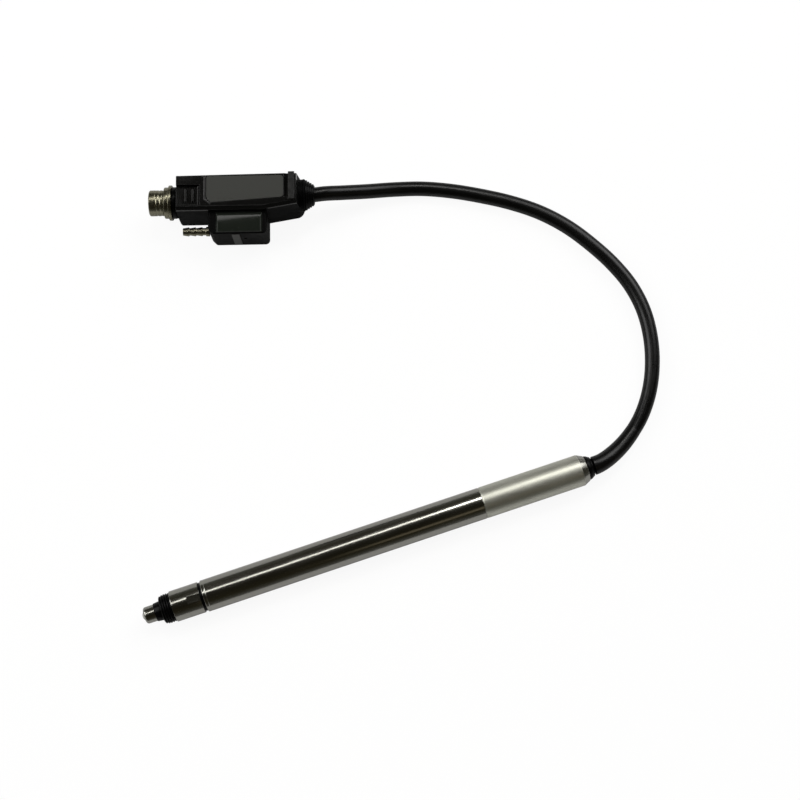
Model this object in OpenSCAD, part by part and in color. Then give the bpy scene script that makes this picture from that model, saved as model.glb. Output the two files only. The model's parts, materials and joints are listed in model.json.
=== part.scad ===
// Pencil-type contact displacement sensor with an air-driven spindle.
// A steel stem with a ball tip lies on the table, and a short cable joins it to a small relay box.
// The stem's axis is the X axis, with the tip towards -X and the origin at the middle of the stem.
// The tip is drawn retracted, as it is with no air on the nozzle.

/* [Stem] */
// Diameter of the clamping stem
stem_d = 8; // [7.9:0.05:8.2]
// Length of the polished stem
stem_len = 72.8; // [72.8:0.2:84]
// Length of the satin rear sleeve with its chamfer
sleeve_len = 27.5; // [27:0.5:32]
// Length of the nose ring in front of the stem
nose_len = 7.3; // [7.1:0.1:8]
// Diameter of the nose ring
nose_d = 7.8; // [7.6:0.05:7.9]

/* [Spindle] */
// Stroke of the spindle
stroke = 12; // [8:1:12]
// Diameter of the contact tip
tip_d = 4.2; // [4:0.1:4.4]
// Length of the tip in front of the dust boot
tip_out = 3.3; // [2.5:0.1:4]
// Radius of the hard ball in the tip
ball_r = 1.5; // [1.3:0.1:1.6]
// Diameter of the spindle shaft
shaft_d = 3.6; // [3.5:0.05:3.7]

/* [Dust boot] */
// Largest diameter of the folded boot
boot_d = 7.4; // [7:0.1:7.6]
// Length of the folded boot
boot_len = 2.95; // [2.8:0.05:3.4]
// Number of folds in the boot
boot_folds = 5; // [4:1:5]

/* [Relay box] */
// Length of the relay box at its top
box_len = 30.6; // [30.3:0.1:33]
// Height of the relay box
box_h = 13; // [12.8:0.1:14]
// Width of the relay box at its base
box_w = 9.8; // [9.4:0.1:10.5]
// Height of the air block on the side of the box
pod_h = 10.9; // [10.6:0.1:11]
// How far the air block stands out from the box
pod_out = 5.4; // [5.4:0.1:6]
// Wall thickness of the mouldings
wall = 1.3; // [1.2:0.05:1.35]

/* [Connections] */
// Outer diameter of the threaded connector
thread_d = 6.6; // [6.5:0.1:7]
// Diameter of the connector's flange
flange_d = 9; // [8.8:0.1:9.4]
// Largest diameter of the air nozzle's barbs
barb_d = 2.3; // [2.2:0.05:2.5]
// Diameter of the gland nut
gland_d = 8.3; // [8:0.1:8.8]
// Diameter of the cable
cable_d = 3.8; // [3.4:0.1:3.8]

/* [Hidden] */
$fn = 64;

// Running clearance, small overshoot of a cut, and a length past any part
gap = 0.05;
cut = 0.5;
far = 60;
// A leaning wall starts this far inside the outline, clear of the corner arcs
wall_start = 0.05;

// Radii and stations of the stem along X
stem_r = stem_d / 2;
tube_wall = 0.7;
bore_r = stem_r - tube_wall;
shaft_r = shaft_d / 2;
stem_front = -stem_len / 2;
stem_rear = stem_len / 2;
sleeve_rear = stem_rear + sleeve_len;
seal_w = 0.7;
nose_rear = stem_front - seal_w;
nose_front = nose_rear - nose_len;
nose_r = nose_d / 2;
boot_front = nose_front - boot_len;
collar_len = 1.65;
collar_front = boot_front - collar_len;
tip_r = tip_d / 2;
tip_front = collar_front - tip_out;

// Holder of the ball, with a groove for the boot's lip and a stud into the shaft
groove_r = tip_r - 0.35;
groove_front = collar_front + 0.2;
groove_rear = groove_front + 1.2;
holder_rear = collar_front + 2.2;
stud_r = 1;
stud_len = 4;

// Ball guide in the front of the stem
spigot_len = 3.4;
spigot_rear = stem_front + spigot_len;
guide_len = 24;
guide_rear = spigot_rear + guide_len;
ball_gap_r = 2.6;
ring_r = (shaft_r + ball_gap_r) / 2;
guide_ball_r = (ball_gap_r - shaft_r) / 2 - 0.02;
cage_rear = guide_rear - 0.5;
cage_len = guide_len - stroke / 2 - 1;
ball_rings = 7;
balls_in_ring = 4;
ring_pitch = 2.2;

// Return spring and piston
seat_len = 0.8;
spring_front = guide_rear + seat_len;
spring_len = 17.7;
spring_turns = 11;
wire_r = 0.22;
coil_r = 2.55;
piston_front = spring_front + spring_len + gap;
piston_len = 3.5;
piston_rear = piston_front + piston_len;
piston_r = bore_r - 0.08;
stub_r = 1.2;

// Glass scale on its carrier, and the block that reads it
hub_len = 2;
scale_front = piston_rear + hub_len + 0.5;
scale_len = stroke + 4;
scale_half_w = 1.6;
rail_w = 0.6;
rail_half_h = 0.45;
carrier_rear = scale_front + scale_len + 1;
block_len = 4.2;
block_front = piston_rear + hub_len + gap;
block_mid = block_front + block_len / 2;

// Boards and sealing parts behind the scale
board_z = -2.1;
bulkhead_len = 2.5;
bush_rear = sleeve_rear + 1.5;
bush_front = sleeve_rear - 6.4;
bulkhead_front = bush_front - bulkhead_len;
cavity_r = bore_r + 0.1;
neck_r = 2.5;
spigot_out = bore_r + 0.35;
joint_len = 0.27;
cable_r = cable_d / 2;
cable_bore_r = cable_r - 0.08;

// Relay box, in its own frame: X towards the gland, Y away from the air block, Z up from its base
box_left = 0.8;
box_right = box_left + box_len;
box_near = -4.2;
box_far = box_near + box_w;
taper_x = 22.6;
taper_slope = 0.17;
seam_z = 11.3;
bevel_h = 0.9;
port_z = 6.5;
floor_h = 1.2;
// How far the feet of the two end walls stand out, and how far the far wall turns outwards
foot_left = 0.4;
foot_right = 1.4;
far_turn = 0.25;
function box_outline(left, right) = [
    [left, box_near], [taper_x, box_near], [right, box_near + taper_slope * (right - taper_x)],
    [right, box_far + far_turn], [left, box_far]
];
box_path = box_outline(box_left - foot_left, box_right + foot_right);
cavity_path = inset(box_outline(box_left, box_right), wall);
box_corners = [1, 1, 2.4, 1.2, 1];
cavity_corner = 0.2;
// Depth of the cover's lip from the cavity's wall
lip_t = 0.75;
// Lean of each wall from base to top, and width of the bevel above it, in the path's order
box_lean = [0.5, 0.5, foot_right, 0.2, foot_left];
box_bevel = [0.8, 0.8, 0.1, 0.35, 0.1];

// Air block on the near side of the box
pod_left = 8.75;
pod_right = 23.7;
pod_near = box_near - pod_out;
pod_cut = 1.25;
pod_path = [
    [pod_left, pod_near + pod_cut], [pod_left + pod_cut, pod_near], [pod_right, pod_near],
    [pod_right, box_near + 1.2], [pod_left, box_near + 1.2]
];
pod_corners = [0.9, 0.9, 1.1, 0.9, 0.9];
pod_lean = [0, 0, 0, 0, 0];
pod_bevel = [0.3, 0.3, 0.3, 0, 0.3];
pod_bevel_h = 0.3;
pod_wall = 0.7;
pod_ceiling = pod_h - 1;

// Smoked window in the top of the air block
window_x = [10.8, 22.5];
window_y = [pod_near + 0.3, box_near + 0.25];
window_t = 0.8;
window_seat = 0.5;
window_z = pod_h - window_seat;
window_bevel = [0.15, 0.4, 1.3, 0.4];
window_bevel_h = 0.35;

// Label recess and finger pocket in the cover
label_path = [[8.5, -1], [9.7, -2], [28.1, -0.8], [28.1, box_far + cut], [8.5, box_far + cut]];
label_depth = 0.35;
label_t = 0.25;
pocket_x = [box_left - cut, 6.9];
pocket_y = [-2.5, 2.75];
pocket_depth = 1.1;
// Ribs of the pocket: place along X, then the two ends along Y
pocket_ribs = [[3.25, -1.5, 1.65], [5.05, -1.5, 1.65], [6.45, -2.2, 2.4]];
rib_half = 0.17;
strap_x = [29.3, 30.85];
strap_h = 0.4;
slot_x = [28.1, 29.3];
slot_depth = 0.9;
// Raised rim round the near and left sides of the label
rim_h = 0.15;
rim_out = 0.55;
rim_in = 0.2;
rim_x = [7, 9.6];
rim_y = [-3, box_far - 0.8];
// Hollow under the cover
hollow_low = [9.5, -1.6, 0];
hollow_high = [26, 3.4, seam_z + 0.7];

// Screws and boards in the box
screw_places = [[8, 2.85], [27.5, -0.9]];
boss_r = 1.7;
post_r = 1.1;
post_z = 6;
screw_r = 0.8;
board_top = port_z - 1.3;
board_t = 0.8;
led_board_z = 8.3;
led_board_t = 0.7;

// Connector, nozzle and gland stations in the box frame
thread_r = thread_d / 2;
flange_r = flange_d / 2;
conn_front = -6.65;
ring1_x = -2.75;
ring2_x = -1.6;
seal_x = -0.75;
seal_r = flange_r - 0.45;
socket_r = 2.7;
insert_r = 1.7;
spigot_r = 2.1;
pin_r = 0.35;
pin_at = 0.8;
nozzle_y = -7.75;
nozzle_front = 1.95;
barb_r = barb_d / 2;
gland_y = 1.45;
gland_neck_r = 2.1;
nut_len = 2.05;
gland_rear = box_right + nut_len + 2.25;
// Flat faces of the round bosses under the connector's seal and the gland nut
left_seat = box_left - foot_left - 0.05;
right_seat = box_right + foot_right - 0.2;
boss_in = 0.1;

// The cable's route on the table, from the bend sleeve to the gland
table_z = -stem_r;
cable_z = table_z + cable_r;
bend_route = [
    [bush_rear, 0, 0], [bush_rear + 1, 0, 0], [bush_rear + 2.65, 0.2, -0.2],
    [bush_rear + 4.35, 0.65, -0.5], [bush_rear + 6, 1.25, -0.9], [bush_rear + 9.2, 2.75, -1.5],
    [bush_rear + 11.5, 4.15, -1.8], [bush_rear + 13.7, 5.75, -2.05]
];
bend_radii = [2.4, 2.36, 2.28, 2.23, 2.19, 2.08, 1.99, 1.93];
free_route = [
    [bush_rear + 15.8, 7.55, cable_z], [bush_rear + 17.9, 9.8, cable_z], [bush_rear + 21.4, 14.8, cable_z],
    [bush_rear + 24.1, 20.6, cable_z], [bush_rear + 25.95, 27.2, cable_z], [bush_rear + 26.6, 34.2, cable_z],
    [bush_rear + 25.7, 41.2, cable_z], [bush_rear + 23.3, 48, cable_z], [bush_rear + 19.8, 54.65, cable_z],
    [bush_rear + 15.5, 61.1, cable_z], [bush_rear + 10, 67.05, cable_z], [bush_rear + 3.7, 71.95, cable_z],
    [bush_rear - 3, 76.1, cable_z], [bush_rear - 9.8, 79.75, cable_z], [bush_rear - 17, 82.85, cable_z],
    [bush_rear - 24.2, 84.9, -1.7], [bush_rear - 31.2, 86.2, -0.2], [bush_rear - 37.4, 87.35, 1.5]
];
box_turn = -17.5;
gland_end = [bush_rear - 44.2, 88.6, port_z - stem_r];
gland_heading = [cos(box_turn), sin(box_turn), 0];
gland_side = [-gland_heading[1], gland_heading[0], 0];
gland_route = [
    gland_end + 2 * gland_heading + 0.35 * gland_side, gland_end + 0.12 * gland_side,
    gland_end - 4 * gland_heading
];
whole_route = concat(bend_route, free_route, gland_route);
cable_start = len(bend_route) - 1;
cable_sides = 8;

// A vector of length one
function unit(v) = v / norm(v);

// The inward normal of the side that leaves corner i of an anticlockwise path
function side_normal(path, i) =
    let (d = unit(path[(i + 1) % len(path)] - path[i]))
    [-d[1], d[0]];

// Corner i moved in by d from both of its sides
function corner_in(path, i, d) =
    let (a = side_normal(path, (i + len(path) - 1) % len(path)), b = side_normal(path, i))
    path[i] + (a + b) * d / (1 + a * b);

// The path with every side moved in by d
function inset(path, d) = [for (i = [0:len(path) - 1]) corner_in(path, i, d)];

// Direction of a route at its point i
function heading(route, i) = unit(route[min(i + 1, len(route) - 1)] - route[max(i - 1, 0)]);

// A ring of n points of radius r across a route at its point i
function ring_across(route, i, r, n) =
    let (t = heading(route, i), s = unit(cross(t, [0, 0, 1])), u = cross(s, t))
    [for (k = [0:n - 1]) route[i] + r * (cos(360 * k / n) * s + sin(360 * k / n) * u)];

// A closed skin over rings that all have the same number of points
module skin(rings) {
    n = len(rings[0]);
    last = len(rings) - 1;
    sides = [for (i = [0:last - 1], k = [0:n - 1])
        [i * n + k, i * n + (k + 1) % n, (i + 1) * n + (k + 1) % n, (i + 1) * n + k]];
    first_cap = [for (k = [n - 1:-1:0]) k];
    last_cap = [for (k = [0:n - 1]) last * n + k];
    polyhedron([for (r = rings) each r], concat([first_cap], sides, [last_cap]), convexity = 6);
}

// A solid turned about the X axis from a profile of [radius, x] points
module turned(profile) {
    rotate([0, 90, 0])
        rotate_extrude()
            polygon(profile);
}

// A cylinder along X from x0 to x1
module rod(r, x0, x1) {
    translate([x0, 0, 0])
        rotate([0, 90, 0])
            cylinder(r = r, h = x1 - x0);
}

// A tube along X from x0 to x1
module pipe(r, inner, x0, x1) {
    turned([[inner, x0], [r, x0], [r, x1], [inner, x1]]);
}

// A block between two opposite corners
module block(low, high) {
    translate(low)
        cube(high - low);
}

// A flat outline with each corner rounded by a true arc of its own radius
module rounded(path, radii) {
    n = len(path);
    union() {
        polygon([for (i = [0:n - 1])
            let (a = side_normal(path, (i + n - 1) % n), b = side_normal(path, i))
            let (c = corner_in(path, i, radii[i]))
            each [c - radii[i] * a, c - radii[i] * b]]);
        for (i = [0:n - 1])
            translate(corner_in(path, i, radii[i]))
                circle(r = radii[i]);
    }
}

// The same radius r for every corner of a path
function all_corners(path, r) = [for (p = path) r];

// Everything on the inner side of one leaning wall, whose top edge is bevelled over the height drop
module wall_side(path, i, h, lean, bevel, drop) {
    normal = side_normal(path, i);
    translate([path[i][0], path[i][1], 0])
        rotate([0, 0, atan2(-normal[0], normal[1])])
            translate([-far, 0, 0])
                rotate([90, 0, 90])
                    linear_extrude(2 * far)
                        polygon([
                            [min(wall_start, lean), 0], [lean, h - drop], [lean + bevel, h],
                            [far, h], [far, 0]
                        ]);
}

// A moulding over a path, with rounded corners, leaning walls and bevelled top edges
module moulding(path, corners, h, leans, bevels, drop) {
    intersection() {
        linear_extrude(h)
            rounded(path, corners);
        intersection_for (i = [0:len(path) - 1])
            wall_side(path, i, h, leans[i], bevels[i], drop);
    }
}

// Puts parts drawn in the box's frame at the end of the cable
module at_box() {
    translate(gland_end)
        rotate([0, 0, box_turn])
            translate([-gland_rear, -gland_y, -port_z])
                children();
}

// Puts parts turned about the X axis on one of the box's ports
module at_port(y) {
    at_box()
        translate([0, y, port_z])
            children();
}

module contact_ball() {
    color("lightgray")
        translate([tip_front + ball_r, 0, 0])
            sphere(ball_r);
}

// Ball holder: a turned tip with a cup for the ball, a groove for the boot and a stud
module contact_holder() {
    face = tip_front + 0.55;
    stud_end = holder_rear + stud_len - 0.1;
    step = 20;
    cup_r = ball_r / cos(step / 2);
    cup = [for (a = [170:-step:70]) [cup_r * sin(a), tip_front + ball_r - cup_r * cos(a)]];
    color("silver")
        turned(concat(
            [[0, tip_front + ball_r + cup_r]],
            cup,
            [
                [ball_r - 0.2, face], [tip_r - 0.45, face], [tip_r, face + 0.4], [tip_r, groove_front],
                [groove_r, groove_front], [groove_r, groove_rear], [tip_r, groove_rear],
                [tip_r, holder_rear], [stud_r, holder_rear], [stud_r, stud_end - 0.2],
                [stud_r - 0.2, stud_end], [0, stud_end]
            ]
        ));
}

// Shaft with a tapped hole in front and a stub behind for the piston and the scale
module spindle_shaft() {
    color("silver")
        turned([
            [stud_r, holder_rear], [shaft_r - 0.1, holder_rear], [shaft_r, holder_rear + 0.1],
            [shaft_r, piston_front], [stub_r, piston_front], [stub_r, piston_rear + 1],
            [0, piston_rear + 1], [0, holder_rear + stud_len], [stud_r, holder_rear + stud_len]
        ]);
}

module piston() {
    groove = [piston_front + 1.25, piston_front + 2.25];
    color("gainsboro")
        turned([
            [stub_r, piston_front], [piston_r - 0.2, piston_front], [piston_r, piston_front + 0.2],
            [piston_r, groove[0]], [piston_r - 0.7, groove[0]], [piston_r - 0.7, groove[1]],
            [piston_r, groove[1]], [piston_r, piston_rear - 0.2], [piston_r - 0.2, piston_rear],
            [stub_r, piston_rear]
        ]);
}

// Lip ring in the piston's groove
module piston_ring() {
    x0 = piston_front + 1.25;
    lip_r = bore_r - gap / 2;
    color("dimgray")
        turned([
            [piston_r - 0.7, x0], [piston_r - 0.15, x0], [lip_r, x0 + 0.3], [lip_r, x0 + 0.7],
            [piston_r - 0.15, x0 + 1], [piston_r - 0.7, x0 + 1]
        ]);
}

// Fork that holds the glass scale by its two long edges
module scale_carrier() {
    hub_rear = piston_rear + hub_len;
    rail_out = scale_half_w + rail_w;
    color("gainsboro")
        difference() {
            union() {
                rod(rail_out + 0.2, piston_rear, hub_rear);
                for (side = [-1, 1])
                    translate([0, side * (scale_half_w + rail_w / 2), 0])
                        block(
                            [hub_rear, -rail_w / 2, -rail_half_h],
                            [carrier_rear, rail_w / 2, rail_half_h]
                        );
                block(
                    [scale_front + scale_len, -scale_half_w, -rail_half_h],
                    [carrier_rear, scale_half_w, rail_half_h]
                );
            }
            rod(stub_r, piston_rear - cut, piston_rear + 1);
        }
}

module glass_scale() {
    glass_t = 0.4;
    color("lightcyan")
        block(
            [scale_front, -scale_half_w, -glass_t / 2],
            [scale_front + scale_len, scale_half_w, glass_t / 2]
        );
}

// Where each guide ball sits: [x, angle], every other ring turned by half a step
ball_places = [for (i = [0:ball_rings - 1], k = [0:balls_in_ring - 1])
    [
        cage_rear - 1.9 - i * ring_pitch,
        (k + (i % 2) / 2) * 360 / balls_in_ring
    ]];

// Thin tube with a drilled seat for every ball
module ball_cage() {
    cage_half_wall = 0.25;
    color("goldenrod")
        difference() {
            pipe(ring_r + cage_half_wall, ring_r - cage_half_wall, cage_rear - cage_len, cage_rear);
            for (p = ball_places)
                translate([p[0], 0, 0])
                    rotate([p[1], 0, 0])
                        cylinder(r = guide_ball_r, h = ball_gap_r, $fn = 24);
        }
}

module guide_balls() {
    color("lightgray")
        for (p = ball_places)
            translate([p[0], 0, 0])
                rotate([p[1], 0, 0])
                    translate([0, 0, ring_r])
                        sphere(guide_ball_r, $fn = 24);
}

// Nose ring with two spanner flats, seats for the boot and the wiper, and a spigot into the stem
module nose_ring() {
    flat_len = 3.3;
    flat_depth = 0.1;
    guide_r = shaft_r + 0.25;
    color("silver")
        difference() {
            turned([
                [2.75, nose_front], [nose_r - 0.12, nose_front], [nose_r, nose_front + 0.12],
                [nose_r, nose_rear], [bore_r - 0.35, nose_rear], [bore_r - 0.35, stem_front],
                [bore_r, stem_front], [bore_r, spigot_rear - 0.2], [bore_r - 0.2, spigot_rear],
                [guide_r, spigot_rear], [guide_r, nose_front + 3.2], [2.9, nose_front + 3.2],
                [2.9, nose_front + 1.6], [2.5, nose_front + 1.6], [2.5, nose_front + 1.1],
                [3.1, nose_front + 1.1], [3.1, nose_front + 0.4], [2.75, nose_front + 0.4]
            ]);
            for (side = [0, 180])
                rotate([side, 0, 0])
                    translate([nose_rear - flat_len, -nose_r, nose_r - flat_depth])
                        cube([flat_len + gap, 2 * nose_r, 1]);
        }
}

// Seal ring in the gap between the nose ring and the stem
module nose_seal() {
    inner = bore_r - 0.35;
    outer = nose_r - 0.2;
    color("#202020")
        turned([
            [inner, nose_rear], [outer - 0.2, nose_rear], [outer, nose_rear + 0.2],
            [outer, stem_front - 0.2], [outer - 0.2, stem_front], [inner, stem_front]
        ]);
}

// Peak radius of fold i: the front folds are a little smaller
function fold_r(i) =
    let (t = (2 * i + 1) / boot_folds - 1)
    boot_d / 2 - (t < 0 ? 0.4 : 0.1) * t * t;

// Rubber boot: a collar that grips the tip, thin folds, and a bead that snaps into the nose ring
module dust_boot() {
    pitch = boot_len / boot_folds;
    valley_r = 2.65;
    skin_t = 0.25;
    outer_folds = [for (i = [0:boot_folds - 1], side = [-1, 1])
        let (mid = boot_front + (i + 0.5) * pitch)
        each side < 0
            ? [[valley_r, mid - 0.4 * pitch], [fold_r(i), mid - 0.27 * pitch]]
            : [[fold_r(i), mid + 0.27 * pitch], [valley_r, mid + 0.4 * pitch]]];
    inner_folds = [for (i = [boot_folds - 1:-1:0], side = [1, -1])
        let (mid = boot_front + (i + 0.5) * pitch)
        each side > 0
            ? [[valley_r - skin_t, mid + 0.2 * pitch], [fold_r(i) - skin_t, mid + 0.07 * pitch]]
            : [[fold_r(i) - skin_t, mid - 0.07 * pitch], [valley_r - skin_t, mid - 0.2 * pitch]]];
    grip = [
        [tip_r + gap, boot_front], [tip_r + gap, groove_rear - 0.1], [groove_r + gap, groove_rear - 0.1],
        [groove_r + gap, groove_front + 0.1], [tip_r + gap, groove_front + 0.1], [tip_r + gap, collar_front]
    ];
    bead = [
        [valley_r, nose_front], [valley_r, nose_front + 0.45], [3.05, nose_front + 0.45],
        [3.05, nose_front + 1.05], [valley_r - skin_t, nose_front + 1.05], [valley_r - skin_t, nose_front]
    ];
    color("#1c1c1c")
        turned(concat(
            [[tip_r + 0.12, collar_front], [tip_r + 0.18, collar_front + 0.1], [tip_r + 0.35, boot_front]],
            outer_folds, bead, inner_folds, grip
        ));
}

// Lip seal that wipes the shaft inside the nose ring
module rod_wiper() {
    seat = nose_front + 1.6;
    color("#303030")
        turned([
            [shaft_r + gap, seat + 0.3], [2.2, seat], [2.9, seat], [2.9, seat + 1.6], [2.4, seat + 1.6],
            [2.4, seat + 0.9], [shaft_r + gap, seat + 0.6]
        ]);
}

// Stem: a plain tube with a fine ring line near the front and a spigot behind
module stem_tube() {
    line_x = stem_front + 0.85;
    color("silver")
        turned([
            [bore_r, stem_front], [stem_r - 0.15, stem_front], [stem_r, stem_front + 0.15],
            [stem_r, line_x - 0.08], [stem_r - 0.08, line_x], [stem_r, line_x + 0.08],
            [stem_r, stem_rear - joint_len], [stem_r - 0.1, stem_rear], [spigot_out, stem_rear],
            [spigot_out, stem_rear + spigot_len], [bore_r, stem_rear + spigot_len]
        ]);
}

module guide_sleeve() {
    color("gray")
        turned([
            [ball_gap_r, spigot_rear + 0.3], [ball_gap_r + 0.3, spigot_rear], [bore_r, spigot_rear],
            [bore_r, guide_rear], [ball_gap_r + 0.3, guide_rear], [ball_gap_r, guide_rear - 0.3]
        ]);
}

module spring_seat() {
    color("gainsboro")
        pipe(bore_r, shaft_r + 0.2, guide_rear, guide_rear + seat_len);
}

// Height of the spring along X after a share t of its turns: the end turns lie close together
function spring_x(t) =
    let (dead = 1 / spring_turns, low = 2.1 * wire_r, open = spring_len - 2 * wire_r - 2 * low)
    spring_front + wire_r + (
        t < dead ? low * t / dead
        : t > 1 - dead ? low + open + low * (t - 1 + dead) / dead
        : low + open * (t - dead) / (1 - 2 * dead)
    );

// Return spring: round wire carried along a helix round the shaft
module return_spring() {
    steps = 16 * spring_turns;
    wire_sides = 6;
    rings = [for (i = [0:steps])
        let (t = i / steps, a = 360 * spring_turns * t, out = [0, cos(a), sin(a)])
        [for (k = [0:wire_sides - 1])
            [spring_x(t), 0, 0] + coil_r * out
            + wire_r * (cos(360 * k / wire_sides) * out + sin(360 * k / wire_sides) * [1, 0, 0])]];
    color("darkgray")
        skin(rings);
}

// Optical block: a slotted plug in the stem that carries the lamp, lens and sensor
module optical_block() {
    slot_half_h = 0.7;
    slot_half_w = scale_half_w + rail_w + 0.15;
    color("#2b2b2b")
        difference() {
            rod(bore_r, block_front, block_front + block_len);
            block(
                [block_front - cut, -slot_half_w, -slot_half_h],
                [block_front + block_len + cut, slot_half_w, slot_half_h]
            );
            translate([block_mid, 0, 0])
                cylinder(r = 0.9, h = 2.5);
            block([block_mid - 1, -1, 1.9], [block_mid + 1, 1, bore_r + cut]);
            block([block_mid - 1.5, -1.3, board_z + 0.6], [block_mid + 1.5, 1.3, 0]);
            block([block_front + 0.4, -1.5, board_z], [block_front + block_len + cut, 1.5, board_z + 0.6]);
        }
}

module light_source() {
    color("ivory")
        union() {
            block([block_mid - 1, -1, 1.9], [block_mid + 1, 1, 2.6]);
            block([block_mid - 0.5, -0.5, 2.6], [block_mid + 0.5, 0.5, 2.9]);
        }
}

// Plano-convex lens below the lamp
module collimator_lens() {
    color("lightcyan")
        intersection() {
            translate([block_mid, 0, 0.9])
                cylinder(r = 0.9, h = 1);
            translate([block_mid, 0, 2.6])
                sphere(1.7);
        }
}

module image_sensor() {
    color("#1f3a2a")
        block([block_mid - 1.4, -1.2, board_z + 0.6], [block_mid + 1.4, 1.2, -0.95]);
}

// Narrow board that carries the sensor and runs back to the rear sleeve
module sensor_board() {
    color("darkgreen")
        block([block_front + 0.4, -1.5, board_z], [stem_rear + 1, 1.5, board_z + 0.6]);
}

// Sealing disc with an air passage and four wire holes
module rear_bulkhead() {
    color("#2b2b2b")
        difference() {
            rod(cavity_r, bulkhead_front, bush_front);
            rod(0.6, bulkhead_front - cut, bush_front + cut);
            for (a = [45:90:315])
                rotate([a, 0, 0])
                    translate([0, 1.9, 0])
                        rod(0.25, bulkhead_front - cut, bush_front + cut);
        }
}

// Signal board in the rear sleeve, with its chips
module signal_board() {
    front = stem_rear + 1;
    color("darkgreen")
        union() {
            block([front, -2.4, board_z], [bulkhead_front, 2.4, board_z + 0.6]);
            block([front + 2, -1.6, board_z + 0.6], [front + 6, 1.6, board_z + 1.4]);
            block([front + 8, -1.1, board_z + 0.6], [front + 10.5, 1.1, board_z + 1.2]);
            for (x = [front + 12:0.9:front + 14.7])
                block([x, -1.8, board_z + 0.6], [x + 0.5, -0.8, board_z + 1]);
        }
}

// Satin sleeve behind the stem, chamfered round the bush
module rear_sleeve() {
    chamfer = 1.6;
    end_r = 3.2;
    color("darkgray")
        turned([
            [spigot_out, stem_rear], [stem_r - 0.1, stem_rear], [stem_r, stem_rear + joint_len],
            [stem_r, sleeve_rear - chamfer], [end_r, sleeve_rear], [neck_r, sleeve_rear],
            [neck_r, bush_front + 2], [cavity_r, bush_front + 2], [cavity_r, stem_rear + spigot_len],
            [spigot_out, stem_rear + spigot_len]
        ]);
}

// Rubber bush: a flange inside the sleeve, a neck, and a rounded shoulder outside
module cable_bush() {
    color("#1c1c1c")
        turned([
            [cable_bore_r, bush_front], [cavity_r, bush_front], [cavity_r, bush_front + 2],
            [neck_r, bush_front + 2], [neck_r, sleeve_rear], [3.1, sleeve_rear], [3.1, sleeve_rear + 0.4],
            [2.85, sleeve_rear + 0.85], [neck_r + 0.05, bush_rear - 0.2], [neck_r, bush_rear],
            [cable_bore_r, bush_rear]
        ]);
}

// Tapered sleeve that eases the cable out of the bush, with its straight core in the bush
module bend_sleeve() {
    core = [[bush_front + cut, 0, 0], bend_route[0]];
    sides = 16;
    color("#1c1c1c")
        skin(concat(
            [for (i = [0:1]) ring_across(core, i, cable_bore_r, sides)],
            [for (i = [0:cable_start]) ring_across(whole_route, i, bend_radii[i], sides)]
        ));
}

module cable() {
    color("#151515")
        skin([for (i = [cable_start:len(whole_route) - 1])
            ring_across(whole_route, i, cable_r, cable_sides)]);
}

// Outer form of the box, grown by g on every side
module box_form(g = 0) {
    moulding(inset(box_path, -g), box_corners, box_h + g, box_lean, box_bevel, bevel_h);
}

// Outline of the cavity in the box, d further in
module cavity_outline(d = 0) {
    rounded(inset(cavity_path, d), all_corners(cavity_path, cavity_corner));
}

// Boss round a screw, which carries the board on its shoulder
module screw_boss() {
    union() {
        cylinder(r = boss_r, h = board_top - board_t);
        cylinder(r = post_r, h = post_z);
    }
}

// Lower moulding: the box below the seam and the air block beside it
module housing_base() {
    low = [-far, -far, -cut];
    color("#1a1a1a")
        at_box()
            difference() {
                union() {
                    difference() {
                        union() {
                            intersection() {
                                box_form();
                                block(low, [far, far, seam_z]);
                            }
                            moulding(pod_path, pod_corners, pod_h, pod_lean, pod_bevel, pod_bevel_h);
                            translate([0, 0, port_z])
                                rod(seal_r - boss_in, left_seat, box_left + wall / 2);
                            translate([0, gland_y, port_z])
                                rod(gland_d / 2 - boss_in, box_right - wall / 2, right_seat);
                        }
                        translate([0, 0, floor_h])
                            linear_extrude(box_h)
                                cavity_outline();
                        block(
                            [pod_left + pod_wall, pod_near + pod_wall, floor_h],
                            [pod_right - pod_wall, box_near + wall + cut, pod_ceiling]
                        );
                        block([window_x[0], window_y[0], window_z], [window_x[1], window_y[1], box_h]);
                        block(
                            [window_x[0] + 0.7, window_y[0] + 0.6, pod_ceiling - cut],
                            [window_x[1] - 0.7, window_y[1] - 0.7, pod_h]
                        );
                    }
                    for (p = screw_places)
                        translate([p[0], p[1], 0])
                            screw_boss();
                    for (x = [pod_left + pod_wall, pod_right - pod_wall - 1])
                        block([x, box_near - 1.7, 0], [x + 1, box_near - 0.2, led_board_z]);
                }
                for (p = screw_places)
                    translate([p[0], p[1], 0]) {
                        translate([0, 0, -cut])
                            cylinder(r = 2 * screw_r, h = cut + 1);
                        cylinder(r = screw_r + 0.1, h = box_h);
                    }
                translate([0, 0, port_z]) {
                    rod(spigot_r, left_seat - cut, box_left + wall + cut);
                    translate([0, gland_y, 0])
                        rod(gland_neck_r, box_right - wall - cut, right_seat + cut);
                    translate([0, nozzle_y, 0])
                        rod(1, pod_left - cut, pod_left + pod_wall + cut);
                }
                translate([17.9, pod_near, 6])
                    sphere(0.4, $fn = 24);
            }
}

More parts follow.
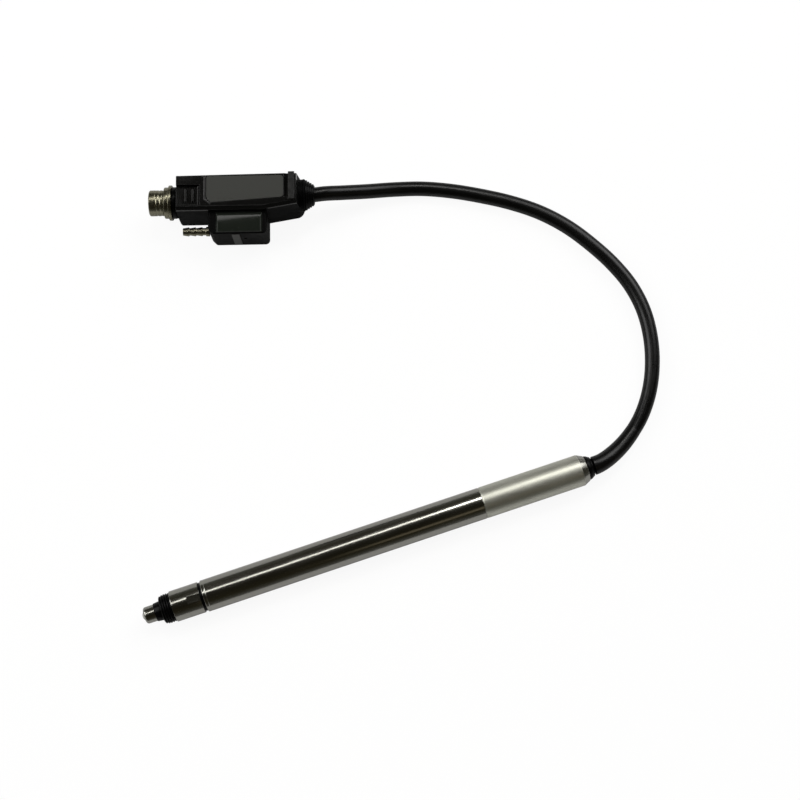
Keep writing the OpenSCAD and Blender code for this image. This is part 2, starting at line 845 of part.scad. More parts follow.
// Upper moulding: pocket, label recess, end strap, and the lip and posts below
module housing_cover() {
    color("#3a3a3c")
        at_box()
            difference() {
                union() {
                    intersection() {
                        box_form();
                        block([-far, -far, seam_z], [far, far, far]);
                    }
                    intersection() {
                        box_form(strap_h);
                        block([strap_x[0], -1.4, seam_z], [strap_x[1], far, far]);
                    }
                    translate([0, 0, seam_z - 1])
                        linear_extrude(1 + gap)
                            difference() {
                                cavity_outline(gap);
                                cavity_outline(lip_t);
                            }
                    for (p = screw_places)
                        translate([p[0], p[1], post_z])
                            cylinder(r = post_r, h = seam_z - post_z + gap);
                    translate([0, 0, box_h - gap])
                        linear_extrude(rim_h + gap)
                            intersection() {
                                difference() {
                                    polygon(inset(label_path, -rim_out));
                                    polygon(inset(label_path, -rim_in));
                                }
                                translate([rim_x[0], rim_y[0]])
                                    square([rim_x[1] - rim_x[0], rim_y[1] - rim_y[0]]);
                            }
                }
                translate([0, 0, box_h - label_depth])
                    linear_extrude(1)
                        polygon(label_path);
                block([slot_x[0], -0.8, box_h - slot_depth], [slot_x[1], far, box_h + 1]);
                difference() {
                    block(
                        [pocket_x[0], pocket_y[0], box_h - pocket_depth],
                        [pocket_x[1], pocket_y[1], box_h + 1]
                    );
                    for (rib = pocket_ribs)
                        block([rib[0] - rib_half, rib[1], 0], [rib[0] + rib_half, rib[2], box_h - 0.3]);
                }
                block(hollow_low, hollow_high);
                for (p = screw_places)
                    translate([p[0], p[1], 0])
                        cylinder(r = screw_r, h = seam_z);
            }
}

module label_plate() {
    edge = inset(label_path, 0.08);
    color("#4a4a48")
        at_box()
            translate([0, 0, box_h - label_depth])
                linear_extrude(label_t)
                    intersection() {
                        polygon(edge);
                        translate([0, -far])
                            square([far, far + box_far - 0.65]);
                    }
}

// Smoked window with bevelled edges
module indicator_window() {
    path = [
        [window_x[0], window_y[0]], [window_x[1], window_y[0]],
        [window_x[1], window_y[1]], [window_x[0], window_y[1]]
    ];
    color("#2c302c")
        at_box()
            translate([0, 0, window_z])
                moulding(path, all_corners(path, 0.3), window_t, [0, 0, 0, 0], window_bevel, window_bevel_h);
}

module side_tag() {
    color("#6a6a68")
        at_box()
            block([14.7, pod_near - 0.15, 1.3], [16.7, pod_near, 10.2]);
}

// Circuit board of the box, cut out round the two bosses
module relay_board() {
    color("darkgreen")
        at_box()
            difference() {
                union() {
                    block([5, -2.7, board_top - board_t], [29, 3.8, board_top]);
                    block([10.5, -1.5, board_top], [14.5, 2.5, board_top + 0.9]);
                    block([16, 0.5, board_top], [17.6, 2.9, board_top + 0.6]);
                    for (i = [0:3])
                        block([16 + 1.3 * i, -2.3, board_top], [16.8 + 1.3 * i, -1.8, board_top + 0.15]);
                }
                for (p = screw_places)
                    translate([p[0], p[1], 0])
                        cylinder(r = post_r + gap, h = box_h);
                block([taper_x, -far, 0], [far, -1.6, box_h]);
            }
}

module indicator_board() {
    color("darkgreen")
        at_box()
            block(
                [pod_left + pod_wall + 0.1, pod_near + pod_wall + 0.1, led_board_z],
                [pod_right - pod_wall - 0.1, box_near - 0.3, led_board_z + led_board_t]
            );
}

module indicator_leds() {
    z = led_board_z + led_board_t;
    color("white")
        at_box()
            for (x = [13.4, 19.9])
                union() {
                    block([x - 0.8, -7.2, z], [x + 0.8, -6.4, z + 0.4]);
                    translate([x, -6.8, z + 0.4])
                        cylinder(r = 0.35, h = 0.25);
                }
}

// Barbed nozzle for the air line, with a second barb inside for the hose
module air_nozzle() {
    neck_r = barb_r - 0.2;
    barb_len = 1.7;
    barbs = [for (i = [0:2])
        let (x = nozzle_front + 0.2 + i * barb_len)
        each [[neck_r, x], [barb_r, x + 1.2], [barb_r, x + 1.35], [neck_r, x + 1.4]]];
    color("#b0a070")
        at_port(nozzle_y)
            turned(concat(
                [[0.5, nozzle_front], [neck_r, nozzle_front]],
                barbs,
                [
                    [neck_r, pod_left - 0.9], [barb_r + 0.1, pod_left - 0.9], [barb_r + 0.1, pod_left],
                    [1, pod_left], [1, pod_left + pod_wall], [0.8, pod_left + pod_wall],
                    [0.8, pod_left + 3.5], [0.5, pod_left + 3.5]
                ]
            ));
}

// Air hose from the nozzle to the cable: two straight runs and two quarter bends
module air_hose() {
    hose_r = 1.1;
    hose_bore = 0.8;
    start = pod_left + pod_wall + 0.2;
    end = box_right - wall - 0.6;
    bend = (gland_y - nozzle_y) / 2;
    bend_x = 13.5;
    color("whitesmoke")
        at_port(0)
            union() {
                translate([0, nozzle_y, 0])
                    pipe(hose_r, hose_bore, start, bend_x);
                translate([0, gland_y, 0])
                    pipe(hose_r, hose_bore, bend_x + 2 * bend, end);
                translate([bend_x, nozzle_y + bend, 0])
                    rotate([0, 0, -90])
                        rotate_extrude(angle = 90)
                            translate([bend, 0])
                                difference() {
                                    circle(hose_r);
                                    circle(hose_bore);
                                }
                translate([bend_x + 2 * bend, nozzle_y + bend, 0])
                    rotate([0, 0, 90])
                        rotate_extrude(angle = 90)
                            translate([bend, 0])
                                difference() {
                                    circle(hose_r);
                                    circle(hose_bore);
                                }
            }
}

// Turned connector shell: threaded end, two flange rings and a spigot through the wall
module connector_shell() {
    spigot_end = box_left + wall + 2.2;
    color("#b0a070")
        at_port(0)
            turned([
                [socket_r, conn_front], [thread_r - 0.25, conn_front], [thread_r, conn_front + 0.25],
                [thread_r, ring1_x - 0.3], [thread_r - 0.25, ring1_x - 0.3], [thread_r - 0.25, ring1_x],
                [flange_r - 0.6, ring1_x], [flange_r - 0.5, ring1_x + 0.1], [flange_r - 0.5, ring2_x],
                [flange_r - 0.1, ring2_x], [flange_r, ring2_x + 0.1], [flange_r, seal_x],
                [spigot_r, seal_x], [spigot_r, spigot_end], [insert_r, spigot_end],
                [insert_r, ring1_x - 0.35], [socket_r, ring1_x - 0.35]
            ]);
}

module connector_seal() {
    color("#1c1c1c")
        at_port(0)
            pipe(seal_r, spigot_r, seal_x, left_seat);
}

// Ring nut that holds the shell from inside, with two spanner slots
module connector_nut() {
    nut_r = 2.65;
    x0 = box_left + wall;
    color("silver")
        at_port(0)
            difference() {
                pipe(nut_r, spigot_r, x0, x0 + 1.5);
                block([x0 + 1, -far, -0.4], [x0 + 2, far, 0.4]);
            }
}

// Insulator with a key in its rim and four drilled holes for the pins
module connector_insert() {
    face = ring1_x - 1.5;
    rear = box_left + wall + 2.2;
    color("#1c1c1c")
        at_port(0)
            difference() {
                union() {
                    rod(socket_r, face, ring1_x - 0.35);
                    rod(insert_r, ring1_x - 0.4, rear);
                    block([conn_front + 0.8, -0.5, socket_r - 0.5], [face + 0.1, 0.5, socket_r - 0.05]);
                }
                for (y = [-pin_at, pin_at], z = [-pin_at, pin_at])
                    translate([0, y, z])
                        rod(pin_r, face - cut, rear + cut, $fn = 24);
            }
}

module contact_pins() {
    front = conn_front + 0.7;
    rear = box_left + wall + 3.6;
    color("gold")
        at_port(0)
            for (y = [-pin_at, pin_at], z = [-pin_at, pin_at])
                translate([0, y, z])
                    turned([
                        [0, front], [pin_r - 0.15, front], [pin_r, front + 0.25], [pin_r, rear], [0, rear]
                    ]);
}

module gland_nut() {
    r = gland_d / 2;
    color("#1c1c1c")
        at_port(gland_y)
            turned([
                [gland_neck_r, right_seat], [r - 0.15, right_seat], [r, right_seat + 0.15],
                [r, box_right + nut_len - 0.3], [r - 0.3, box_right + nut_len],
                [gland_neck_r, box_right + nut_len]
            ]);
}

// Rubber gland: a flange inside the wall, a neck, and a ribbed taper round the cable
module cable_gland() {
    ribs_from = box_right + nut_len;
    flange = gland_neck_r + 0.4;
    rib_r = [3.9, 3.55, 3.2, 2.85];
    rib_pitch = 0.56;
    ribs = [for (i = [0:3])
        let (x = ribs_from + i * rib_pitch)
        each [[rib_r[i] - 0.05, x], [rib_r[i], x + 0.08], [rib_r[i] - 0.12, x + 0.36],
            [rib_r[i] - 0.6, x + 0.4], [rib_r[i] - 0.65, x + rib_pitch]]];
    color("#181818")
        at_port(gland_y)
            turned(concat(
                [
                    [cable_bore_r, box_right - wall - 0.6], [flange, box_right - wall - 0.6],
                    [flange, box_right - wall], [gland_neck_r, box_right - wall], [gland_neck_r, ribs_from]
                ],
                ribs,
                [[cable_bore_r, gland_rear]]
            ));
}

// Two screws from below, each with a cross recess
module housing_screws() {
    color("silver")
        at_box()
            for (p = screw_places)
                translate([p[0], p[1], 0])
                    difference() {
                        union() {
                            translate([0, 0, 0.2])
                                cylinder(r1 = 1.3, r2 = 1.5, h = 0.3);
                            translate([0, 0, 0.5])
                                cylinder(r = 1.5, h = 0.5);
                            cylinder(r = screw_r, h = 9.5);
                        }
                        block([-0.9, -0.15, -cut], [0.9, 0.15, 0.6]);
                        block([-0.15, -0.9, -cut], [0.15, 0.9, 0.6]);
                        block([-1, -1, -cut], [1, 1, 0.2]);
                    }
}

contact_ball();
contact_holder();
spindle_shaft();
piston();
piston_ring();
scale_carrier();
glass_scale();
ball_cage();
guide_balls();
nose_ring();
nose_seal();
dust_boot();
rod_wiper();
stem_tube();
guide_sleeve();
spring_seat();
return_spring();
optical_block();
light_source();
collimator_lens();
image_sensor();
sensor_board();
rear_bulkhead();
signal_board();
rear_sleeve();
cable_bush();
bend_sleeve();
cable();
housing_base();
housing_cover();
label_plate();
indicator_window();
side_tag();
relay_board();
indicator_board();
indicator_leds();
air_nozzle();
air_hose();
connector_shell();
connector_seal();
connector_nut();
connector_insert();
contact_pins();
gland_nut();
cable_gland();
housing_screws();
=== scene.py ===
"""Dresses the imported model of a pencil-type contact displacement sensor.

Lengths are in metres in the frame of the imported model: the stem lies along X with its tip towards -X,
Z points up, and the table's top is at TABLE_Z.
"""

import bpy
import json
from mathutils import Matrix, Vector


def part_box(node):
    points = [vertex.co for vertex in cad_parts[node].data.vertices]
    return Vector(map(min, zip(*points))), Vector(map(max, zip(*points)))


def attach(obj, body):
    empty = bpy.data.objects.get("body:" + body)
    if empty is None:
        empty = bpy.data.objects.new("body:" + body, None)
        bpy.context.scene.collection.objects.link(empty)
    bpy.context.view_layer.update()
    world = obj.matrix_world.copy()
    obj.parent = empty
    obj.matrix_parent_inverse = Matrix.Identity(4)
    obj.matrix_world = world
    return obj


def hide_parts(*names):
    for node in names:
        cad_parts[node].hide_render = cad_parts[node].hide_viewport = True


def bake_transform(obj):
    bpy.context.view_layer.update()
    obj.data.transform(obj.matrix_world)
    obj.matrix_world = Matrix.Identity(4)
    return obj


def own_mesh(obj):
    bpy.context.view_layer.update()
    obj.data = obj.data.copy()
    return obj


bl_info = {
    "name": "Contact displacement sensor",
    "version": (1, 0, 0),
    "blender": (4, 5, 0),
    "location": "3D View > Sidebar > Sensor",
    "description": "Builds the stem, boot, cable and relay box of a contact displacement sensor",
    "category": "Object",
}

import json
import math

import bmesh
import bpy
import numpy as np
from mathutils import Matrix, Vector

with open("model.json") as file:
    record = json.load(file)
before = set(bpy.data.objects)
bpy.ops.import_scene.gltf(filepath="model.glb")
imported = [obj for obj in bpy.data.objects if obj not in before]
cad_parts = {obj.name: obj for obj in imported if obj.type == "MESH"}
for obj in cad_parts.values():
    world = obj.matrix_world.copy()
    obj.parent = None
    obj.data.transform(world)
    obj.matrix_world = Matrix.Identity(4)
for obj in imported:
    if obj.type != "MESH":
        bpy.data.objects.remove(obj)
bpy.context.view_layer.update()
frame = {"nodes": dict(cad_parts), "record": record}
MM = 0.001

# Stations along the stem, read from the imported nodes
TIP_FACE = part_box("contact_holder")[0].x
COLLAR_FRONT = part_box("dust_boot")[0].x
NOSE_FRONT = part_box("nose_ring")[0].x
NOSE_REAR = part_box("nose_seal")[0].x
STEM_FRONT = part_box("nose_seal")[1].x
STEM_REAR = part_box("rear_sleeve")[0].x
SLEEVE_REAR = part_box("rear_sleeve")[1].x
BUSH_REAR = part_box("cable_bush")[1].x
STEM_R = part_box("stem_tube")[1].y
NOSE_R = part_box("nose_ring")[1].y
BOOT_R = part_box("dust_boot")[1].y
BOOT_FRONT = NOSE_FRONT - 2.95 * MM
TABLE_Z = -STEM_R

# The cable's route on the table, from the end of the bush to the gland, and the radii of its bend sleeve
BEND_ROUTE = np.array([
    [65.4, 0, 0], [66.4, 0, 0], [68.05, 0.2, -0.2], [69.75, 0.65, -0.5], [71.4, 1.25, -0.9],
    [74.6, 2.75, -1.5], [76.9, 4.15, -1.8], [79.1, 5.75, -2.05],
]) * MM
BEND_RADII = np.array([2.4, 2.36, 2.28, 2.23, 2.19, 2.08, 1.99, 1.93]) * MM
FREE_ROUTE = np.array([
    [81.2, 7.55, -2.1], [83.3, 9.8, -2.1], [86.8, 14.8, -2.1], [89.5, 20.6, -2.1], [91.35, 27.2, -2.1],
    [92, 34.2, -2.1], [91.1, 41.2, -2.1], [88.7, 48, -2.1], [85.2, 54.65, -2.1], [80.9, 61.1, -2.1],
    [75.4, 67.05, -2.1], [69.1, 71.95, -2.1], [62.4, 76.1, -2.1], [55.6, 79.75, -2.1], [48.4, 82.85, -2.1],
    [41.2, 84.9, -1.7], [34.2, 86.2, -0.2], [28, 87.35, 1.5],
]) * MM
CABLE_R = 1.9 * MM

# The relay box has a frame of its own, with X towards the gland, turned by BOX_TURN about Z. GLAND_END is the
# middle of the gland's end. In the box's frame it lies at GLAND_REAR and GLAND_Y, and the nozzle at NOZZLE_Y.
BOX_TURN = math.radians(-17.5)
GLAND_END = np.array([21.2, 88.6, 2.5]) * MM
GLAND_REAR = 35.7 * MM
GLAND_Y = 1.45 * MM
NOZZLE_Y = -7.75 * MM
GLAND_HEADING = np.array([math.cos(BOX_TURN), math.sin(BOX_TURN), 0])
GLAND_SIDE = np.array([-math.sin(BOX_TURN), math.cos(BOX_TURN), 0])

# Name of the map that runs along the cable and round it
CABLE_MAP = "Along and round"

# How far a face stands out, as Pointiness gives it: on a flat face, where the pale tint of scuffs and painted
# edge highlight begins, and where it is full
FLAT_FACE, PLAIN_EDGE, WEAR_AND_SHEEN_EDGE = 0.5, 0.52, 0.62

# The photograph's camera: lens and sensor in mm, its place, and its axes to the right, up and back
CAMERA_LENS, CAMERA_SENSOR = 69.75, 36
CAMERA_PLACE = Vector((3.52, -33.19, 385.95)) * MM
CAMERA_AXES = ((0.94816, -0.31780, 0), (0.31297, 0.93375, 0.17365), (-0.05519, -0.16465, 0.98481))

# The lamps: name, place and size in metres, watts, tint, and the turn of the long side from X in degrees.
# They all face LAMP_AIM. The table reaches TABLE_HALF metres to each side, past the edge of any view.
LAMPS = (
    ("Key", (-0.018, 1.262, 2.4), (1.6, 0.24), 6.3, (1.0, 0.99, 0.96), 34),
    ("Key end", (0.64, 1.52, 2.4), (0.36, 0.40), 10.0, (1.0, 0.99, 0.96), 35),
    ("Left", (-0.93, 0.59, 0.86), (0.9, 0.9), 10.5, (1.0, 1.0, 1.0), 0),
    ("Right", (0.97, 0.59, 0.86), (0.9, 0.9), 10.5, (1.0, 1.0, 1.0), 0),
    ("Fill", (0.35, -0.75, 0.92), (0.7, 0.3), 0.12, (1.0, 0.85, 0.6), 0),
)
LAMP_AIM = Vector((0.02, 0.04, 0))
TABLE_HALF = 40

# Brightness of the room by the height of the direction, from the horizon to straight up
ROOM = ((0.0, (0.3, 0.3, 0.3)), (0.08, (0.12, 0.12, 0.11)), (0.35, (0.06, 0.058, 0.045)),
        (0.6, (0.028, 0.024, 0.012)), (1.0, (0.012, 0.010, 0.004)))


class SensorSizes(bpy.types.PropertyGroup):
    """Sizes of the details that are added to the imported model."""

    sides: bpy.props.IntProperty(
        name="Sides", description="Sides of a turned surface", default=192, min=48, max=360)
    edge_round: bpy.props.FloatProperty(
        name="Edge round", description="Reach of the rounding on turned edges",
        default=0.12 * MM, min=0.01 * MM, max=0.4 * MM, precision=5, unit="LENGTH", subtype="DISTANCE")
    moulding_round: bpy.props.FloatProperty(
        name="Moulding round", description="Width of the rounding on moulded edges",
        default=0.07 * MM, min=0.02 * MM, max=0.1 * MM, precision=5, unit="LENGTH", subtype="DISTANCE")
    boot_folds: bpy.props.IntProperty(
        name="Boot folds", description="Folds of the dust boot", default=5, min=3, max=7)
    thread_pitch: bpy.props.FloatProperty(
        name="Thread pitch", description="Pitch of the connector's thread",
        default=1.0 * MM, min=0.4 * MM, max=1.6 * MM, precision=5, unit="LENGTH", subtype="DISTANCE")
    thread_depth: bpy.props.FloatProperty(
        name="Thread depth", description="Depth of the connector's thread",
        default=0.1 * MM, min=0.05 * MM, max=0.4 * MM, precision=5, unit="LENGTH", subtype="DISTANCE")
    cable_sides: bpy.props.IntProperty(
        name="Cable sides", description="Sides of the cable's round section", default=40, min=12, max=96)


def colour(name, description, value):
    """A colour that the user can change in the panel."""
    return bpy.props.FloatVectorProperty(
        name=name, description=description, default=value, size=3, min=0, max=1, subtype="COLOR")


class SensorColours(bpy.types.PropertyGroup):
    """Base colours of the finishes."""

    steel: colour("Polished steel", "Stem, nose ring and tip", (0.34, 0.336, 0.306))
    satin: colour("Satin steel", "Rear sleeve", (0.57, 0.57, 0.505))
    rubber: colour("Rubber", "Boot, bush and gland", (0.002, 0.002, 0.002))
    jacket: colour("Jacket", "Cable", (0.002, 0.002, 0.002))
    base: colour("Lower housing", "Lower moulding of the relay box", (0.002, 0.002, 0.002))
    cover: colour("Cover", "Upper moulding of the relay box", (0.005, 0.005, 0.0048))
    label: colour("Label", "Bare label on the cover", (0.046, 0.047, 0.0425))
    window: colour("Window", "Smoked window of the lamps", (0.012, 0.0145, 0.0115))
    nickel: colour("Nickel on brass", "Connector and nozzle", (0.23, 0.218, 0.158))
    floor: colour("Floor", "Table under the sensor", (0.6, 0.6, 0.6))


def finish_mesh(obj, sharp):
    """Closes seams and poles by merging equal points, and smooths the shading below sharp degrees."""
    bm = bmesh.new()
    bm.from_mesh(obj.data)
    bmesh.ops.remove_doubles(bm, verts=bm.verts, dist=1e-8)
    bm.to_mesh(obj.data)
    bm.free()
    obj.data.shade_smooth()
    obj.data.set_sharp_from_angle(angle=math.radians(sharp))
    return obj


def surface(name, grid, uv=None, sharp=32):
    """Mesh over a grid of points: each row is a closed ring, and the face between rows i and i + 1 and
    columns j and j + 1 has its corners at those four points. uv holds the pattern's place, as an array of
    rows by columns + 1 by 2."""
    rows, cols = grid.shape[:2]
    row = np.arange(rows - 1)[:, None] * cols
    left = np.arange(cols)[None, :]
    right = (left + 1) % cols
    faces = np.stack([row + left, row + right, row + cols + right, row + cols + left], -1).reshape(-1, 4)
    mesh = bpy.data.meshes.new(name)
    mesh.vertices.add(rows * cols)
    mesh.vertices.foreach_set("co", grid.astype(np.float32).ravel())
    mesh.loops.add(faces.size)
    mesh.loops.foreach_set("vertex_index", faces.astype(np.int32).ravel())
    mesh.polygons.add(len(faces))
    mesh.polygons.foreach_set("loop_start", np.arange(0, faces.size, 4, dtype=np.int32))
    if uv is not None:
        corners = np.stack([uv[:-1, :-1], uv[:-1, 1:], uv[1:, 1:], uv[1:, :-1]], 2)
        layer = mesh.uv_layers.new(name=CABLE_MAP)
        layer.data.foreach_set("uv", corners.astype(np.float32).ravel())
    mesh.update(calc_edges=True)
    mesh.validate()
    obj = bpy.data.objects.new(name, mesh)
    bpy.context.scene.collection.objects.link(obj)
    return finish_mesh(obj, sharp)


def soften(profile, reach):
    """The profile with every inner corner P turned into the parabola (1-s)^2 A + 2s(1-s) P + s^2 B.
    A and B lie on the two sides at the distance reach from P, but never past 0.45 of a side."""
    most = 0.45
    p = np.asarray(profile, float)
    back, ahead = p[:-2] - p[1:-1], p[2:] - p[1:-1]
    long_back = np.linalg.norm(back, axis=1, keepdims=True)
    long_ahead = np.linalg.norm(ahead, axis=1, keepdims=True)
    r = np.minimum(np.minimum(reach, most * long_back), most * long_ahead)
    a = (p[1:-1] + back / long_back * r)[:, None]
    b = (p[1:-1] + ahead / long_ahead * r)[:, None]
    s = np.linspace(0, 1, 5)[None, :, None]
    arcs = (1 - s) ** 2 * a + 2 * s * (1 - s) * p[1:-1, None] + s ** 2 * b
    return np.vstack([p[:1], arcs.reshape(-1, 2), p[-1:]])


def round_angles(sides):
    """Angles of the points of a round section."""
    return 2 * np.pi * np.arange(sides) / sides


def around(x, r, a):
    """The points (x, r cos a, r sin a)."""
    return np.stack([np.broadcast_to(x, r.shape), r * np.cos(a), r * np.sin(a)], -1)


def distances(points):
    """Length along a line of points, from the first to each of them."""
    return np.concatenate([[0], np.cumsum(np.linalg.norm(np.diff(points, axis=0), axis=1))])


def lathe(profile, sides):
    """Grid of a surface of revolution: the profile point (x, r) at the angle a is (x, r cos a, r sin a)."""
    p = np.asarray(profile, float)
    return around(p[:, :1], np.repeat(p[:, 1:], sides, axis=1), round_angles(sides))


def turned(name, profile, reach=None, place=None):
    """A turned piece from its profile of (x, r) points, with softened edges."""
    sizes = bpy.context.scene.sensor_sizes
    grid = lathe(soften(profile, sizes.edge_round if reach is None else reach), sizes.sides)
    return surface(name, grid if place is None else place(grid))


def at_port(y):
    """Moves points turned about X to one of the relay box's ports: a shift, then a turn about Z."""
    def move(grid):
        p = grid + np.array([-GLAND_REAR, y - GLAND_Y, 0])
        c, s = math.cos(BOX_TURN), math.sin(BOX_TURN)
        x, y1, z = p[..., 0], p[..., 1], p[..., 2]
        return np.stack([c * x - s * y1, s * x + c * y1, z], -1) + GLAND_END
    return move


def smooth_path(points, step):
    """Cubic Hermite curve through the points: between two of them at chord lengths t0 and t1,
    P = h00 P0 + h10 (t1-t0) M0 + h01 P1 + h11 (t1-t0) M1, where M is the change of P with t there."""
    t = distances(points)
    m = np.gradient(points, t, axis=0)
    at = np.linspace(0, t[-1], int(round(t[-1] / step)) + 1)
    k = np.clip(np.searchsorted(t, at, side="right") - 1, 0, len(points) - 2)
    gap = (t[k + 1] - t[k])[:, None]
    s = (at - t[k])[:, None] / gap
    return ((2 * s**3 - 3 * s**2 + 1) * points[k] + (s**3 - 2 * s**2 + s) * gap * m[k]
            + (3 * s**2 - 2 * s**3) * points[k + 1] + (s**3 - s**2) * gap * m[k + 1])


def tube(name, path, radii, sides):
    """Round skin along a path: at each point P with heading T, the ring P + r (S cos a + U sin a),
    where S = Z x T made one long and U = T x S. Both ends close on a point."""
    heading = np.gradient(path, axis=0)
    heading /= np.linalg.norm(heading, axis=1, keepdims=True)
    side = np.cross([0.0, 0.0, 1.0], heading)
    side /= np.linalg.norm(side, axis=1, keepdims=True)
    up = np.cross(heading, side)
    a = round_angles(sides)[None, :, None]
    r = np.broadcast_to(radii, len(path))[:, None, None]
    rings = path[:, None] + r * (side[:, None] * np.cos(a) + up[:, None] * np.sin(a))
    ends = np.repeat(path[[0, -1], None], sides, axis=1)
    grid = np.concatenate([ends[:1], rings, ends[1:]])
    along = distances(path)
    along = np.concatenate([[0], along, along[-1:]])
    u = np.repeat(along[:, None], sides + 1, axis=1)
    v = np.repeat(np.linspace(0, 2 * np.pi * np.max(radii), sides + 1)[None], len(along), axis=0)
    return surface(name, grid, uv=np.stack([u, v], -1))


def even_normals(mesh, limit=40):
    """Corner normals that keep large faces flat: at each corner, the sum of area times normal over the
    faces round its vertex that turn less than limit degrees from its own face, made one long."""
    least = math.cos(math.radians(limit))
    vert = np.empty(len(mesh.loops), np.int32)
    mesh.loops.foreach_get("vertex_index", vert)
    size, area = np.empty(len(mesh.polygons), np.int32), np.empty(len(mesh.polygons), np.float32)
    normal = np.empty(3 * len(mesh.polygons), np.float32)
    mesh.polygons.foreach_get("loop_total", size)
    mesh.polygons.foreach_get("area", area)
    mesh.polygons.foreach_get("normal", normal)
    order = np.argsort(vert, kind="stable")
    face = np.repeat(np.arange(len(size)), size)[order]
    vert, area, normal = vert[order], area[face], normal.reshape(-1, 3)[face]
    at = np.arange(len(vert))
    total = np.zeros((len(vert), 3))
    reach = int(np.bincount(vert).max())
    for k in range(-reach, reach + 1):
        j = np.clip(at + k, 0, len(vert) - 1)
        near = (j == at + k) & (vert[j] == vert) & ((normal * normal[j]).sum(1) > least)
        total += (near * area[j])[:, None] * normal[j]
    corners = np.empty_like(total)
    corners[order] = total / np.linalg.norm(total, axis=1, keepdims=True)
    mesh.normals_split_custom_set(corners)


def moulded(name, node, width, corner=0, high=math.inf):
    """A node's own solid with rounded edges. Its triangles are merged into whole faces; upright edges first
    get the radius corner, where one is given; then every edge of more than 30 degrees gets a rounding of the
    given width. The rounding, and the faces above the height high, have the attribute Edge at 1, where
    moulding() paints a pale tint: scuffs, and a painted highlight."""
    mesh = frame["nodes"][node].data.copy()
    mesh.name = name
    mesh.materials.clear()
    bm = bmesh.new()
    bm.from_mesh(mesh)
    bmesh.ops.remove_doubles(bm, verts=bm.verts, dist=1e-6)
    bmesh.ops.dissolve_limit(bm, angle_limit=math.radians(1), verts=bm.verts, edges=bm.edges)
    if corner:
        upright = [e for e in bm.edges if abs((e.verts[0].co - e.verts[1].co).normalized().z) > 0.99
                   and e.calc_face_angle(0) > math.radians(45)]
        bmesh.ops.bevel(bm, geom=upright, offset=corner, offset_type="OFFSET", segments=6, profile=0.5,
                        affect="EDGES")
    made = bmesh.ops.bevel(bm, geom=[e for e in bm.edges if e.calc_face_angle(0) > math.radians(30)],
                           offset=width, offset_type="OFFSET", segments=2, profile=0.5, affect="EDGES")
    bm.faces.index_update()
    rounded = [face.index for face in made["faces"]]
    bm.to_mesh(mesh)
    bm.free()
    middle = np.empty(3 * len(mesh.polygons), np.float32)
    mesh.polygons.foreach_get("center", middle)
    # Faces above high get the pale tint of the rounding: a painted highlight
    on_edge = (middle[2::3] > high).astype(np.float32)
    on_edge[rounded] = 1
    mesh.attributes.new("Edge", "FLOAT", "FACE").data.foreach_set("value", on_edge)
    mesh.polygons.foreach_set("use_smooth", np.ones(len(mesh.polygons), bool))
    even_normals(mesh)
    obj = bpy.data.objects.new(name, mesh)
    bpy.context.scene.collection.objects.link(obj)
    return obj


def put(obj, material, slot, *nodes, body="stem_body", ride=True):
    """Gives a piece its material, hides the nodes that it stands for, and lets it ride. slot is not used."""
    obj.data.materials.clear()
    obj.data.materials.append(material)
    if nodes:
        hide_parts(*nodes)
    if ride:
        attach(obj, body)


class Nodes:
    """Adds shader nodes to a tree: sockets in the values are linked, anything else is set."""

    def __init__(self, tree):
        self.tree = tree

    def add(self, kind, values=None, **settings):
        node = self.tree.nodes.new(kind)
        for key, value in settings.items():
            setattr(node, key, value)
        for key, value in (values or {}).items():
            if isinstance(value, bpy.types.NodeSocket):
                self.link(value, node.inputs[key])
            else:
                node.inputs[key].default_value = value
        return node

    def link(self, value, socket):
        self.tree.links.new(value, socket)

    def group(self, tree, **values):
        """A shared group. Its inputs are given by name, with _ for a space."""
        named = {key.replace("_", " "): value for key, value in values.items()}
        return self.add("ShaderNodeGroup", named, node_tree=tree)

    def maths(self, operation, first, second):
        return self.add("ShaderNodeMath", {0: first, 1: second}, operation=operation).outputs[0]

    def stretched(self, vector, factors):
        return self.add("ShaderNodeVectorMath", {0: vector, 1: factors}, operation="MULTIPLY").outputs[0]

    def noise(self, vector, scale, detail, **more):
        values = {"Vector": vector, "Scale": scale, "Detail": detail, **more}
        return self.add("ShaderNodeTexNoise", values).outputs["Fac"]

    def ramp(self, value, start, end, low, high):
        """low up to the value start, high from the value end, and an even change between them."""
        values = {"Value": value, "From Min": start, "From Max": end, "To Min": low, "To Max": high}
        return self.add("ShaderNodeMapRange", values).outputs["Result"]

    def mix(self, share, first, second):
        """The first colour where the share is 0, and the second where it is 1. The Mix node has sockets for
        numbers too, so those for colours are given by their places."""
        return self.add("ShaderNodeMix", {0: share, 6: first, 7: second}, data_type="RGBA").outputs[2]


def shared(name, inputs, outputs, build):
    """A node group made once: build gets its nodes and the group's input sockets, and returns the outputs."""
    found = bpy.data.node_groups.get(name)
    if found:
        return found
    tree = bpy.data.node_groups.new(name, "ShaderNodeTree")
    for label, kind, value in inputs:
        socket = tree.interface.new_socket(name=label, in_out="INPUT", socket_type="NodeSocket" + kind)
        if value is not None:
            socket.default_value = value
    for label, kind in outputs:
        tree.interface.new_socket(name=label, in_out="OUTPUT", socket_type="NodeSocket" + kind)
    start, end = tree.nodes.new("NodeGroupInput"), tree.nodes.new("NodeGroupOutput")
    for label, socket in build(Nodes(tree), start.outputs).items():
        tree.links.new(socket, end.inputs[label])
    return tree


def turning_lines():
    """Fine lines round the X axis, as a lathe or grinder leaves them: noise that changes mostly along X."""
    def build(n, given):
        stretch = n.stretched(given["Vector"], (1, 0.04, 0.04))
        return {"Height": n.noise(stretch, given["Scale"], 3.0)}
    return shared("Turning lines", [("Vector", "Vector", None), ("Scale", "Float", 3000)],
                  [("Height", "Float")], build)


